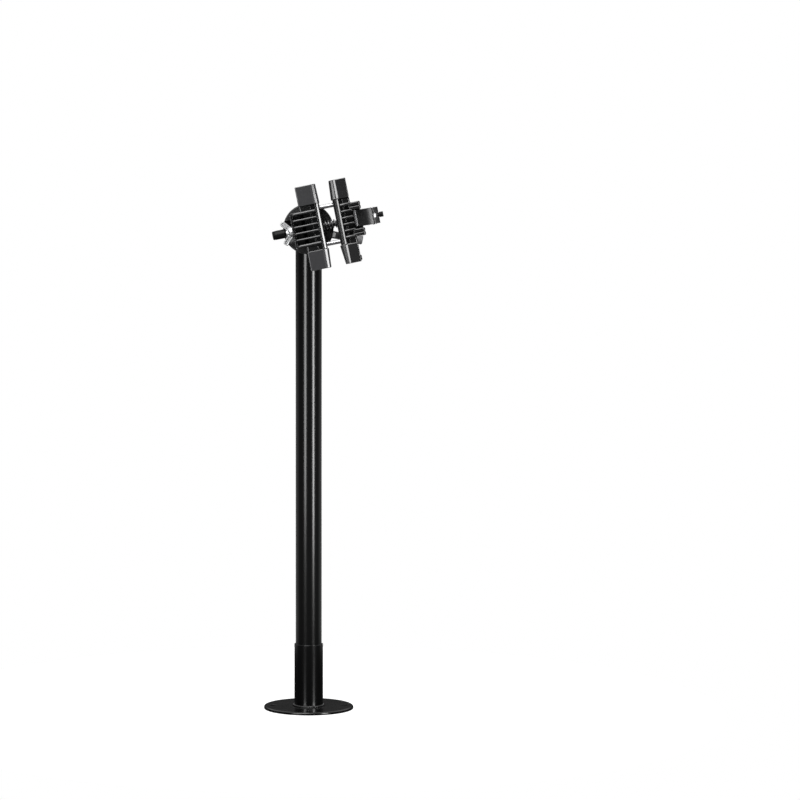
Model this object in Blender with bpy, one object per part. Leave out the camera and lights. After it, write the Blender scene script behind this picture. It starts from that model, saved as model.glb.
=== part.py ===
"""Bike repair stand: a round post on a bolted flange, with a turning two-jaw clamp head.

World axes: +Z up, +X to the viewer's right, -Y towards the viewer.
The origin is the centre of the flange's underside.
Clamp pieces are drawn in the clamp's own axes, which an empty turns into place:
u runs along the clamp rod, v along the jaws and w out towards the viewer.
All sizes are metres; MM turns millimetres into metres.
"""
import math

import bmesh
import bpy
from mathutils import Vector

MM = 0.001

# Clearances
GAP = 0.3 * MM
SLIDING_GAP = 0.4 * MM

# Flange, socket and post
FLANGE_RADIUS = 65.0 * MM
FLANGE_THICKNESS = 4.0 * MM
FLANGE_EDGE = 0.8 * MM
BOLT_HOLE_RADIUS = 4.5 * MM
BOLT_HOLE_INSET = 13.0 * MM
BOLT_COUNT = 4
POST_RADIUS = 19.0 * MM
POST_WALL = 2.0 * MM
SOCKET_WALL = 1.6 * MM
SOCKET_HEIGHT = 90.0 * MM
WELD_LEG = 3.4 * MM
SOCKET_SCREW_RADIUS = 4.0 * MM
SOCKET_SCREW_HEAD_RADIUS = 6.5 * MM
SOCKET_SCREW_HEAD_LENGTH = 6.0 * MM
SOCKET_SCREW_KEY_RADIUS = 3.4 * MM
SOCKET_SCREW_KEY_DEPTH = 3.5 * MM
SOCKET_BOSS_RADIUS = 7.5 * MM
SOCKET_BOSS_LENGTH = 6.0 * MM
SOCKET_SCREW_LOWER_LEVEL = 30.0 * MM
SOCKET_SCREW_TOP_INSET = 24.0 * MM

# Turning head
HEAD_HEIGHT = 695.0 * MM
CLAMP_TILT = math.radians(11.4)
BARREL_RADIUS = 21.0 * MM
BARREL_BORE_RADIUS = 13.0 * MM
BARREL_REAR_REACH = 25.0 * MM
BARREL_FRONT_REACH = 75.5 * MM
FIXED_DISC_RADIUS = 32.0 * MM
FIXED_DISC_THICKNESS = 5.0 * MM
LINING_RADIUS = 30.0 * MM
LINING_HOLE_RADIUS = 16.0 * MM
LINING_THICKNESS = 2.0 * MM
HUB_DISC_RADIUS = 35.5 * MM
HUB_DISC_THICKNESS = 14.5 * MM
HUB_DISC_EDGE = 1.6 * MM
SPINDLE_RADIUS = 8.0 * MM
SPINDLE_HEAD_RADIUS = 12.0 * MM
SPINDLE_HEAD_LENGTH = 5.5 * MM
SPINDLE_THREAD_RADIUS = 6.0 * MM
SPINDLE_TAIL = 2.0 * MM
BUSH_LENGTH = 18.0 * MM
BUSH_FLANGE_RADIUS = 17.0 * MM
BUSH_FLANGE_THICKNESS = 1.5 * MM
THRUST_WASHER_RADIUS = 15.0 * MM
THRUST_WASHER_THICKNESS = 2.0 * MM
STOP_NUT_RADIUS = 9.5 * MM
STOP_NUT_LENGTH = 6.0 * MM

# Lever that locks the head's turning
LOCK_HUB_RADIUS = 13.0 * MM
LOCK_HUB_LENGTH = 18.0 * MM
LOCK_HUB_EDGE = 1.5 * MM
LOCK_ARM_THICKNESS = 8.0 * MM
LOCK_ARM_WIDTH = 11.0 * MM
LOCK_ARM_BEND = 16.0 * MM
LOCK_ARM_LAND = 6.7 * MM
LOCK_ARM_CORNER = 4.0 * MM
LOCK_ARM_SETBACK = 9.5 * MM
LOCK_GRIP_REACH = 80.0 * MM
LOCK_GRIP_LENGTH = 33.0 * MM
LOCK_GRIP_RADIUS = 6.8 * MM
LOCK_GRIP_EDGE = 2.4 * MM
LOCK_TANG_RADIUS = 3.0 * MM
LOCK_GRIP_END_WALL = 8.0 * MM
LOCK_ANGLE = math.radians(-21.8)

# Jaws, pads and liners
JAW_HALF_LENGTH = 59.0 * MM
JAW_DEPTH = 52.8 * MM
JAW_GAP = 19.0 * MM
GRIP_CENTRE = 31.0 * MM
FIXED_SPINE = 29.0 * MM
MOVING_SPINE = 23.5 * MM
PAD_LENGTH = 27.0 * MM
PAD_WALL = 4.2 * MM
PAD_EDGE = 1.8 * MM
PAD_TAB_LENGTH = 7.0 * MM
PAD_TAB_REACH = 1.8 * MM
PAD_TAB_DEPTH = 30.0 * MM
GROOVE_HALF_HEIGHT = 12.5 * MM
GROOVE_DEPTH = 8.8 * MM
GROOVE_FLAT = 3.2 * MM
GROOVE_LAND = 1.6 * MM
BEVEL_DROP = 5.4 * MM
FIXED_PAD_BEVEL = 8.4 * MM
MOVING_PAD_BEVEL = 10.8 * MM
FIXED_LINER_FRONT = 6.4 * MM
MOVING_LINER_FRONT = 8.0 * MM
LINER_BACKING = 3.5 * MM
LINER_SHOULDER = 7.0 * MM
FACE_SETBACK = 0.6 * MM

# Ribs of the jaw bodies
BULGE_REACH = 22.0 * MM
BULGE_HALF_LENGTH = 24.2 * MM
BULGE_CORNER = 3.0 * MM
SPINE_CORNER = 2.0 * MM
FIN_COUNT = 6
FIN_PITCH = 9.0 * MM
FIN_THICKNESS = 3.2 * MM
END_FIN_THICKNESS = 4.6 * MM
FIN_HEIGHT = 31.0 * MM
FIN_CORNER = 7.0 * MM
FIN_TIP_CORNER = 0.6 * MM
MOVING_FIN_CORNER = 2.0 * MM
FIN_EDGE = 0.5 * MM
RIB_ROOT = 3.0 * MM
TONGUE_INSET = 1.0 * MM
BACK_STEP = 1.0 * MM
FLOOR_STEP = 0.6 * MM
LINER_WALL = 2.0 * MM
NECK_DROP = 5.0 * MM
SIDE_WALL = 2.6 * MM
SIDE_WALL_DROP = 9.0 * MM
POCKET_HALF_WIDTH = 13.4 * MM
POCKET_STEP = 1.7 * MM
ARM_REACH = 13.5 * MM
ARM_DROP = 8.0 * MM
ARM_CORNER = 2.0 * MM
ARM_RIB_COUNT = 3
ARM_RIB_THICKNESS = 2.4 * MM
ARM_RIB_DROP = 1.2 * MM
NUT_SEAT_DEPTH = 2.6 * MM
NUT_SEAT_RADIUS = 12.0 * MM

# Screws and guide pins of the jaws
JAW_SCREW_RADIUS = 3.0 * MM
JAW_SCREW_HEAD_RADIUS = 5.5 * MM
JAW_SCREW_HEAD_LENGTH = 3.4 * MM
JAW_SCREW_BITE = 11.0 * MM
JAW_SCREW_OUTER_INSET = 7.5 * MM
JAW_SCREW_SIDE_INSET = 4.2 * MM
JAW_SCREW_LIP_INSET = 10.0 * MM
JAW_SCREW_INNER_SPREAD = 14.0 * MM
GUIDE_PIN_RADIUS = 3.0 * MM
GUIDE_PIN_SPREAD = 26.0 * MM
GUIDE_PIN_SET = 22.0 * MM
GUIDE_PIN_END_INSET = 2.0 * MM

# Clamp rod, wing nut and cap
ROD_RADIUS = 4.0 * MM
ROD_NECK_RADIUS = 2.5 * MM
ROD_COVER = 10.3 * MM
ROD_WASHER_RADIUS = 10.5 * MM
ROD_WASHER_THICKNESS = 2.0 * MM
ROD_NUT_RADIUS = 3.75 * MM
ROD_NUT_REACH = 14.1 * MM
WING_HUB_RADIUS = 7.2 * MM
WING_HUB_LENGTH = 9.5 * MM
WING_SPREAD = 18.5 * MM
WING_RISE = 12.0 * MM
WING_THICKNESS = 5.4 * MM
WING_WIDTH = 9.0 * MM
WING_SWING_CLEARANCE = 1.2 * MM
CAP_RADIUS = 6.4 * MM
CAP_LENGTH = 18.0 * MM
CAP_END = 2.6 * MM
CAP_EDGE = 1.4 * MM
CAP_CLEARANCE = 1.6 * MM

# Spring that opens the jaws
SPRING_WIRE_RADIUS = 0.65 * MM
SPRING_CLEARANCE = 1.0 * MM
SPRING_TURNS = 7
SPRING_POINTS_PER_TURN = 10
SPRING_POCKET_DEPTH = 7.0 * MM

# Cam lever and what it bears on
CAM_WIDTH = 23.0 * MM
CAM_EDGE = 0.8 * MM
CAM_WASHER_THICKNESS = 3.3 * MM
CAM_WASHER_BACK_REACH = 9.3 * MM
CAM_SEAT_THICKNESS = 12.5 * MM
CAM_REACH = 10.5 * MM
CAM_TRAVEL = 3.6 * MM
CAM_SWING = math.radians(120.0)
CAM_END_RADIUS = 7.9 * MM
CAM_BARREL_RADIUS = 6.4 * MM
CAM_PIN_RADIUS = 3.0 * MM
CAM_PIN_HEAD = 0.7 * MM
CAM_SLOT_WIDTH = 9.6 * MM
CAM_SLOT_CLEARANCE = 1.9 * MM
CAM_LEVER_LENGTH = 74.0 * MM
CAM_LEVER_ROOT = 11.0 * MM
CAM_LEVER_TIP = 7.0 * MM
CAM_LEVER_SWEEP = 5.0 * MM
CAM_HOOD_CLEARANCE = 0.6 * MM
CAM_HOOD_THICKNESS = 4.6 * MM
CAM_HOOD_INSET = 1.0 * MM
CAM_HOOD_CORNER = 2.6 * MM
CAM_HOOD_CROWN = 0.8 * MM
CAM_HOOD_BOW = 12.0 * MM

# Facets
ROUND_STEPS = 48
SMALL_STEPS = 24
FILLET_STEPS = 4
CAM_STEPS = 10

# Levels along the head's turning axis
FIXED_DISC_BACK = BARREL_FRONT_REACH + GAP
FIXED_DISC_FRONT = FIXED_DISC_BACK + FIXED_DISC_THICKNESS
LINING_BACK = FIXED_DISC_FRONT + GAP
LINING_FRONT = LINING_BACK + LINING_THICKNESS
HUB_BACK = LINING_FRONT + GAP
HUB_FRONT = HUB_BACK + HUB_DISC_THICKNESS
SPINDLE_HEAD_BACK = HUB_FRONT - SPINDLE_HEAD_LENGTH
JAW_BACK = HUB_FRONT + GAP
JAW_FRONT = JAW_BACK + JAW_DEPTH
ROD_LEVEL = JAW_BACK + ROD_COVER
FIN_FLOOR = JAW_FRONT - FIN_HEIGHT
GROOVE_LEVEL = JAW_FRONT - BEVEL_DROP - GROOVE_LAND - GROOVE_HALF_HEIGHT
GROOVE_FOOT = GROOVE_LEVEL - GROOVE_HALF_HEIGHT - GROOVE_LAND
REAR_BUSH_BACK = -BARREL_REAR_REACH - GAP - BUSH_FLANGE_THICKNESS
THRUST_WASHER_FRONT = REAR_BUSH_BACK - GAP
THRUST_WASHER_BACK = THRUST_WASHER_FRONT - THRUST_WASHER_THICKNESS
LOCK_FRONT = THRUST_WASHER_BACK - GAP
LOCK_BACK = LOCK_FRONT - LOCK_HUB_LENGTH
STOP_NUT_FRONT = LOCK_BACK - GAP
SPINDLE_END = STOP_NUT_FRONT - STOP_NUT_LENGTH - SPINDLE_TAIL

# Places along the clamp rod
FIXED_LIP = GRIP_CENTRE - JAW_GAP / 2
MOVING_LIP = GRIP_CENTRE + JAW_GAP / 2
LINER_WIDTH = GROOVE_DEPTH + LINER_BACKING
BODY_FACE = LINER_WIDTH + GAP
BULGE_DISTANCE = FIXED_LIP + BULGE_REACH
NUT_SEAT = -BULGE_REACH + NUT_SEAT_DEPTH
ROD_WASHER_OUTER = NUT_SEAT - GAP - ROD_WASHER_THICKNESS
WING_SEAT = ROD_WASHER_OUTER - GAP
CAP_INNER = WING_SEAT - WING_HUB_LENGTH - CAP_CLEARANCE
ROD_START = CAP_INNER - CAP_LENGTH + CAP_END + GAP
POCKET_FLOOR = MOVING_LIP + MOVING_SPINE + POCKET_STEP
ARM_END = MOVING_LIP + MOVING_SPINE + ARM_REACH
CAM_WASHER_INNER = POCKET_FLOOR + GAP
CAM_SEAT_INNER = CAM_WASHER_INNER + CAM_WASHER_THICKNESS + GAP
CAM_SEAT_FACE = CAM_SEAT_INNER + CAM_SEAT_THICKNESS
CAM_PIVOT = CAM_SEAT_FACE + GAP + CAM_REACH
ROD_NUT_OUTER = CAM_PIVOT + ROD_NUT_REACH
ROD_NUT_INNER = CAM_PIVOT + CAM_BARREL_RADIUS + GAP

# Places along the jaws
BODY_HALF_LENGTH = JAW_HALF_LENGTH - PAD_LENGTH - GAP
FIN_PLACES = [(i - (FIN_COUNT - 1) / 2) * FIN_PITCH for i in range(FIN_COUNT)]
SPRING_RADIUS = ROD_RADIUS + SPRING_CLEARANCE + SPRING_WIRE_RADIUS
SPRING_POCKET_RADIUS = SPRING_RADIUS + SPRING_WIRE_RADIUS + SLIDING_GAP
CAM_SLOT_REACH = ROD_NUT_REACH + CAM_SLOT_CLEARANCE
CAM_RATE = CAM_TRAVEL / CAM_SWING


def clear_scene():
    for thing in list(bpy.data.objects):
        bpy.data.objects.remove(thing, do_unlink=True)


def finish(name, colour, roughness, metallic=0.0):
    """One plain surface: its colour, roughness and metallic value."""
    surface = bpy.data.materials.new(name)
    surface.use_nodes = True
    shader = surface.node_tree.nodes["Principled BSDF"]
    shader.inputs["Base Color"].default_value = (*colour, 1.0)
    shader.inputs["Roughness"].default_value = roughness
    shader.inputs["Metallic"].default_value = metallic
    surface.diffuse_color = (*colour, 1.0)
    return surface


# Drawing tools

def lay(points, axis):
    """Turns (a, b, along) points so that the last number runs along axis u, v or w."""
    if axis == "u":
        return [(c, a, b) for a, b, c in points]
    if axis == "v":
        return [(a, c, b) for a, b, c in points]
    return list(points)


def tidy(shape):
    bmesh.ops.remove_doubles(shape, verts=shape.verts, dist=1e-7)
    bmesh.ops.recalc_face_normals(shape, faces=shape.faces)
    return shape


def turned(profile, axis="w", steps=ROUND_STEPS):
    """A profile of (radius, level) points spun about an axis.

    One that starts and ends at radius 0 is solid.
    """
    shape = bmesh.new()
    verts = [shape.verts.new((radius, 0, level)) for radius, level in profile]
    ends = list(zip(verts, verts[1:]))
    if profile[0][0] or profile[-1][0]:
        ends.append((verts[-1], verts[0]))
    edges = [shape.edges.new(pair) for pair in ends]
    bmesh.ops.spin(
        shape,
        geom=verts + edges,
        cent=(0, 0, 0),
        axis=(0, 0, 1),
        angle=math.tau,
        steps=steps,
        use_merge=True,
    )
    for vert, place in zip(shape.verts, lay([v.co for v in shape.verts], axis)):
        vert.co = place
    return tidy(shape)


def prism(outline, low, high, axis="w"):
    """An outline drawn across an axis and pushed along it from low to high.

    The outline's points are (u, v) for axis w, (u, w) for axis v and (v, w) for axis u.
    """
    shape = bmesh.new()
    places = lay([(a, b, low) for a, b in outline], axis)
    face = shape.faces.new([shape.verts.new(place) for place in places])
    grown = bmesh.ops.extrude_face_region(shape, geom=[face])
    far = [item for item in grown["geom"] if isinstance(item, bmesh.types.BMVert)]
    step = lay([(0, 0, high - low)], axis)[0]
    bmesh.ops.translate(shape, verts=far, vec=step)
    return tidy(shape)


def box(low, high):
    """A box from its lowest to its highest corner, as (u, v, w)."""
    outline = [(low[0], low[1]), (high[0], low[1]), (high[0], high[1]), (low[0], high[1])]
    return prism(outline, low[2], high[2])


def rod(radius, low, high, axis="w", centre=(0, 0), steps=SMALL_STEPS):
    """A round bar along an axis; centre is its place across the axis, as prism draws it."""
    outline = []
    for i in range(steps):
        turn = math.tau * (i + 0.5) / steps
        outline.append((centre[0] + radius * math.cos(turn), centre[1] + radius * math.sin(turn)))
    return prism(outline, low, high, axis)


def rounded(corners, steps=FILLET_STEPS):
    """An outline of (a, b, radius) corners, each rounded by its radius."""
    outline = []
    for i, (a, b, radius) in enumerate(corners):
        corner = Vector((a, b))
        if radius <= 0:
            outline.append((a, b))
            continue
        before = (Vector(corners[i - 1][:2]) - corner).normalized()
        after = (Vector(corners[(i + 1) % len(corners)][:2]) - corner).normalized()
        half = before.angle(after) / 2
        centre = corner + (before + after).normalized() * radius / math.sin(half)
        start = corner + before * radius / math.tan(half) - centre
        end = corner + after * radius / math.tan(half) - centre
        turn = math.atan2(start.x * end.y - start.y * end.x, start.dot(end))
        for step in range(steps + 1):
            part = turn * step / steps
            across = Vector((-start.y, start.x)) * math.sin(part)
            outline.append(tuple(centre + start * math.cos(part) + across))
    return outline


def merged(shapes):
    """Several shapes that stand apart, put into one for a single cut or join."""
    whole = bmesh.new()
    for shape in shapes:
        data = bpy.data.meshes.new("shape")
        shape.to_mesh(data)
        shape.free()
        whole.from_mesh(data)
        bpy.data.meshes.remove(data)
    return whole


def piece(name, shape, surface, parent=None, sharp=35.0):
    """A named solid, smooth across its gentle edges."""
    data = bpy.data.meshes.new(name)
    shape.to_mesh(data)
    shape.free()
    data.materials.append(surface)
    data.shade_smooth()
    data.set_sharp_from_angle(angle=math.radians(sharp))
    thing = bpy.data.objects.new(name, data)
    bpy.context.scene.collection.objects.link(thing)
    thing.parent = parent
    return thing


def pivot(name, parent=None, location=(0, 0, 0), rotation=(0, 0, 0)):
    """An empty on a joint's axis, which the moving pieces hang from."""
    thing = bpy.data.objects.new(name, None)
    bpy.context.scene.collection.objects.link(thing)
    thing.parent = parent
    thing.location = location
    thing.rotation_euler = rotation
    return thing


def bevel(thing, width, segments=2, angle=40.0):
    """Rounds the sharp edges; placed before any cut, so that the cuts stay crisp."""
    change = thing.modifiers.new("soft edges", "BEVEL")
    change.width = width
    change.segments = segments
    change.limit_method = "ANGLE"
    change.angle_limit = math.radians(angle)
    change.harden_normals = True


def combine(thing, shape, operation, label, soft=0.0):
    tool = piece(f"{thing.name}_{label}", shape, thing.data.materials[0], thing.parent)
    tool.location = thing.location
    tool.hide_render = True
    tool.display_type = "WIRE"
    if soft:
        bevel(tool, soft, segments=1)
    change = thing.modifiers.new(label, "BOOLEAN")
    change.operation = operation
    change.solver = "EXACT"
    change.object = tool


def cut(thing, shape, label):
    combine(thing, shape, "DIFFERENCE", label)


def join(thing, shape, label, soft=0.0):
    combine(thing, shape, "UNION", label, soft)


# Flange, socket and post

def base_plate(surface):
    rim = FLANGE_RADIUS
    top = FLANGE_THICKNESS
    plate = piece(
        "base_plate",
        turned([
            (0, 0),
            (rim - FLANGE_EDGE / 2, 0),
            (rim, FLANGE_EDGE / 2),
            (rim, top - FLANGE_EDGE),
            (rim - FLANGE_EDGE, top),
            (0, top),
        ], steps=72),
        surface,
    )
    reach = rim - BOLT_HOLE_INSET
    holes = []
    for i in range(BOLT_COUNT):
        turn = math.tau * i / BOLT_COUNT
        centre = (reach * math.cos(turn), reach * math.sin(turn))
        holes.append(rod(BOLT_HOLE_RADIUS, -top, 2 * top, centre=centre))
    cut(plate, merged(holes), "bolt_holes")
    return plate


def foot_weld(surface):
    """The weld bead that holds the socket to the flange."""
    inner = POST_RADIUS + GAP + SOCKET_WALL + GAP
    foot = FLANGE_THICKNESS + GAP
    bead = [(inner, foot), (inner + WELD_LEG, foot)]
    for i in range(1, FILLET_STEPS):
        turn = math.radians(90.0) * i / FILLET_STEPS
        hollow = 1 - 0.72 * math.sin(2 * turn) / 2
        out = WELD_LEG * math.cos(turn) * hollow
        up = WELD_LEG * math.sin(turn) * hollow
        bead.append((inner + out, foot + up))
    bead.append((inner, foot + WELD_LEG))
    return piece("foot_weld", turned(bead), surface)


def socket_screw_levels():
    """How far above the socket's foot each screw sits."""
    return {"lower": SOCKET_SCREW_LOWER_LEVEL, "upper": SOCKET_HEIGHT - SOCKET_SCREW_TOP_INSET}


def base_socket(surface):
    """The short tube on the flange that the post stands in, with two screw bosses behind."""
    foot = FLANGE_THICKNESS + GAP
    bore = POST_RADIUS + GAP
    outside = bore + SOCKET_WALL
    socket = piece("base_socket", rod(outside, foot, foot + SOCKET_HEIGHT, steps=ROUND_STEPS), surface)
    bosses = []
    threads = []
    for level in socket_screw_levels().values():
        end = outside + SOCKET_BOSS_LENGTH
        bosses.append(rod(SOCKET_BOSS_RADIUS, bore - SOCKET_WALL, end, "v", (0, foot + level)))
        threads.append(rod(SOCKET_SCREW_RADIUS + GAP, 0, 2 * end, "v", (0, foot + level)))
    join(socket, merged(bosses), "bosses")
    cut(socket, rod(bore, 0, 2 * SOCKET_HEIGHT, steps=ROUND_STEPS), "bore")
    cut(socket, merged(threads), "threads")
    return socket


def socket_screw(name, level, surface):
    """A cap screw that grips the post from behind."""
    tip = POST_RADIUS + GAP
    seat = tip + SOCKET_WALL + SOCKET_BOSS_LENGTH + GAP
    end = seat + SOCKET_SCREW_HEAD_LENGTH
    key_floor = end - SOCKET_SCREW_KEY_DEPTH
    screw = piece(
        name,
        turned([
            (0, tip),
            (SOCKET_SCREW_RADIUS, tip),
            (SOCKET_SCREW_RADIUS, seat),
            (SOCKET_SCREW_HEAD_RADIUS, seat),
            (SOCKET_SCREW_HEAD_RADIUS, end),
            (0, end),
        ], "v", SMALL_STEPS),
        surface,
    )
    screw.location = (0, 0, FLANGE_THICKNESS + GAP + level)
    cut(screw, rod(SOCKET_SCREW_KEY_RADIUS, key_floor, 2 * end, "v", steps=6), "key")
    return screw


def post_tube(surface):
    """The round post, coped at its top to the barrel that lies across it."""
    foot = FLANGE_THICKNESS + GAP
    post = piece(
        "post_tube",
        turned([
            (POST_RADIUS, foot),
            (POST_RADIUS, HEAD_HEIGHT),
            (POST_RADIUS - POST_WALL, HEAD_HEIGHT),
            (POST_RADIUS - POST_WALL, foot),
        ]),
        surface,
    )
    across = 2 * POST_RADIUS
    cut(post, rod(BARREL_RADIUS + GAP, -across, across, "v", (0, HEAD_HEIGHT), ROUND_STEPS), "cope")
    return post


# Barrel and the pieces that stay with the post

def head_barrel(surface, head):
    return piece(
        "head_barrel",
        turned([
            (BARREL_BORE_RADIUS, -BARREL_REAR_REACH),
            (BARREL_RADIUS, -BARREL_REAR_REACH),
            (BARREL_RADIUS, BARREL_FRONT_REACH),
            (BARREL_BORE_RADIUS, BARREL_FRONT_REACH),
        ]),
        surface,
        head,
    )


def fixed_disc(surface, head):
    return piece(
        "fixed_disc",
        turned([
            (BARREL_BORE_RADIUS, FIXED_DISC_BACK),
            (FIXED_DISC_RADIUS, FIXED_DISC_BACK),
            (FIXED_DISC_RADIUS, FIXED_DISC_FRONT),
            (BARREL_BORE_RADIUS, FIXED_DISC_FRONT),
        ]),
        surface,
        head,
    )


def friction_lining(surface, head):
    return piece(
        "friction_lining",
        turned([
            (LINING_HOLE_RADIUS, LINING_BACK),
            (LINING_RADIUS, LINING_BACK),
            (LINING_RADIUS, LINING_FRONT),
            (LINING_HOLE_RADIUS, LINING_FRONT),
        ]),
        surface,
        head,
    )


def front_bush(surface, head):
    bore = SPINDLE_RADIUS + GAP
    outside = BARREL_BORE_RADIUS - GAP
    return piece(
        "front_bush",
        turned([
            (bore, BARREL_FRONT_REACH - BUSH_LENGTH),
            (outside, BARREL_FRONT_REACH - BUSH_LENGTH),
            (outside, BARREL_FRONT_REACH),
            (bore, BARREL_FRONT_REACH),
        ]),
        surface,
        head,
    )


def rear_bush(surface, head):
    bore = SPINDLE_RADIUS + GAP
    outside = BARREL_BORE_RADIUS - GAP
    shoulder = REAR_BUSH_BACK + BUSH_FLANGE_THICKNESS
    return piece(
        "rear_bush",
        turned([
            (bore, REAR_BUSH_BACK),
            (BUSH_FLANGE_RADIUS, REAR_BUSH_BACK),
            (BUSH_FLANGE_RADIUS, shoulder),
            (outside, shoulder),
            (outside, shoulder + BUSH_LENGTH),
            (bore, shoulder + BUSH_LENGTH),
        ]),
        surface,
        head,
    )


# Spindle and hub disc, which turn with the jaws

def jaw_screw_places():
    """(name, u, v) of the screws that hold the fixed jaw to the hub disc."""
    outer = JAW_SCREW_OUTER_INSET - BULGE_REACH
    side = BULGE_HALF_LENGTH - JAW_SCREW_SIDE_INSET
    inner = FIXED_LIP - JAW_SCREW_LIP_INSET
    places = []
    for row, u, v in (("outer", outer, side), ("inner", inner, JAW_SCREW_INNER_SPREAD)):
        places.append((f"jaw_screw_{row}_upper", u, v))
        places.append((f"jaw_screw_{row}_lower", u, -v))
    return places


def hub_disc(surface, head):
    """The disc that carries the jaws; a pocket in its front lets the wing nut's wings swing round."""
    rim = HUB_DISC_RADIUS
    disc = piece(
        "hub_disc",
        turned([
            (SPINDLE_RADIUS + GAP, HUB_BACK),
            (rim - HUB_DISC_EDGE / 2, HUB_BACK),
            (rim, HUB_BACK + HUB_DISC_EDGE / 2),
            (rim, HUB_FRONT - HUB_DISC_EDGE),
            (rim - HUB_DISC_EDGE / 3, HUB_FRONT - HUB_DISC_EDGE / 3),
            (rim - HUB_DISC_EDGE, HUB_FRONT),
            (SPINDLE_HEAD_RADIUS + GAP, HUB_FRONT),
            (SPINDLE_HEAD_RADIUS + GAP, SPINDLE_HEAD_BACK - GAP),
            (SPINDLE_RADIUS + GAP, SPINDLE_HEAD_BACK - GAP),
        ], steps=64),
        surface,
        head,
    )
    floor = HUB_BACK + JAW_SCREW_HEAD_LENGTH + GAP
    heads = []
    shanks = []
    for _, u, v in jaw_screw_places():
        heads.append(rod(JAW_SCREW_HEAD_RADIUS + GAP, HUB_BACK - MM, floor, centre=(u, v)))
        shanks.append(rod(JAW_SCREW_RADIUS + GAP, HUB_BACK - MM, HUB_FRONT + MM, centre=(u, v)))
    cut(disc, merged(heads), "screw_heads")
    cut(disc, merged(shanks), "screw_holes")
    sweep = math.hypot(WING_SPREAD, WING_WIDTH / 2) + WING_SWING_CLEARANCE
    pocket = rod(sweep, -2 * rim, WING_SEAT + WING_SWING_CLEARANCE, "u", (0, ROD_LEVEL), 48)
    cut(disc, pocket, "wing_pocket")
    return disc


def spindle(surface, head):
    """The shoulder bolt that the head turns on; its head lies in the hub disc."""
    shoulder = (THRUST_WASHER_FRONT + THRUST_WASHER_BACK) / 2
    return piece(
        "spindle",
        turned([
            (0, SPINDLE_END),
            (SPINDLE_THREAD_RADIUS, SPINDLE_END),
            (SPINDLE_THREAD_RADIUS, shoulder),
            (SPINDLE_RADIUS, shoulder),
            (SPINDLE_RADIUS, SPINDLE_HEAD_BACK),
            (SPINDLE_HEAD_RADIUS, SPINDLE_HEAD_BACK),
            (SPINDLE_HEAD_RADIUS, HUB_FRONT),
            (0, HUB_FRONT),
        ], steps=32),
        surface,
        head,
    )


def thrust_washer(surface, head):
    bore = SPINDLE_RADIUS + GAP
    return piece(
        "thrust_washer",
        turned([
            (bore, THRUST_WASHER_BACK),
            (THRUST_WASHER_RADIUS, THRUST_WASHER_BACK),
            (THRUST_WASHER_RADIUS, THRUST_WASHER_FRONT),
            (bore, THRUST_WASHER_FRONT),
        ]),
        surface,
        head,
    )


def stop_nut(surface, head):
    """The nut at the spindle's end, which keeps the lock lever on its thread."""
    low = STOP_NUT_FRONT - STOP_NUT_LENGTH
    nut = piece("stop_nut", rod(STOP_NUT_RADIUS, low, STOP_NUT_FRONT, steps=6), surface, head)
    cut(nut, rod(SPINDLE_THREAD_RADIUS + GAP, low - MM, STOP_NUT_FRONT + MM), "bore")
    return nut


def jaw_screw(name, u, v, surface, head):
    seat = HUB_BACK + JAW_SCREW_HEAD_LENGTH
    screw = piece(
        name,
        turned([
            (0, HUB_BACK),
            (JAW_SCREW_HEAD_RADIUS, HUB_BACK),
            (JAW_SCREW_HEAD_RADIUS, seat),
            (JAW_SCREW_RADIUS, seat),
            (JAW_SCREW_RADIUS, JAW_BACK + JAW_SCREW_BITE),
            (0, JAW_BACK + JAW_SCREW_BITE),
        ], steps=SMALL_STEPS),
        surface,
        head,
    )
    screw.location = (u, v, 0)
    return screw


# Lever that locks the head

def lock_lever(surface, lock):
    """A cranked lever whose hub is a nut on the spindle; its tang carries the grip."""
    hub = piece(
        "lock_lever",
        turned([
            (0, LOCK_BACK),
            (LOCK_HUB_RADIUS - LOCK_HUB_EDGE, LOCK_BACK),
            (LOCK_HUB_RADIUS, LOCK_BACK + LOCK_HUB_EDGE),
            (LOCK_HUB_RADIUS, LOCK_FRONT - LOCK_HUB_EDGE),
            (LOCK_HUB_RADIUS - LOCK_HUB_EDGE, LOCK_FRONT),
            (0, LOCK_FRONT),
        ], steps=32),
        surface,
        lock,
    )
    front = (LOCK_FRONT + LOCK_BACK + LOCK_ARM_THICKNESS) / 2
    back = front - LOCK_ARM_THICKNESS
    end = LOCK_GRIP_REACH - LOCK_GRIP_LENGTH - GAP
    out = end - LOCK_ARM_LAND
    arm = rounded([
        (0, front, 0),
        (LOCK_ARM_BEND, front, LOCK_ARM_CORNER),
        (out, front - LOCK_ARM_SETBACK, LOCK_ARM_CORNER),
        (end, front - LOCK_ARM_SETBACK, 0),
        (end, back - LOCK_ARM_SETBACK, 0),
        (out - LOCK_ARM_THICKNESS / 4, back - LOCK_ARM_SETBACK, LOCK_ARM_CORNER),
        (LOCK_ARM_BEND - LOCK_ARM_THICKNESS / 4, back, LOCK_ARM_CORNER),
        (0, back, 0),
    ])
    half = LOCK_ARM_WIDTH / 2
    join(hub, prism(arm, -half, half, "v"), "arm", soft=1.5 * MM)
    tang_end = LOCK_GRIP_REACH - LOCK_GRIP_END_WALL - GAP
    join(hub, rod(LOCK_TANG_RADIUS, end - 2 * MM, tang_end, "u", (0, lock_grip_level())), "tang")
    cut(hub, rod(SPINDLE_THREAD_RADIUS + GAP, LOCK_BACK - MM, LOCK_FRONT + MM), "thread")
    return hub


def lock_grip_level():
    return (LOCK_FRONT + LOCK_BACK) / 2 - LOCK_ARM_SETBACK


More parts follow.
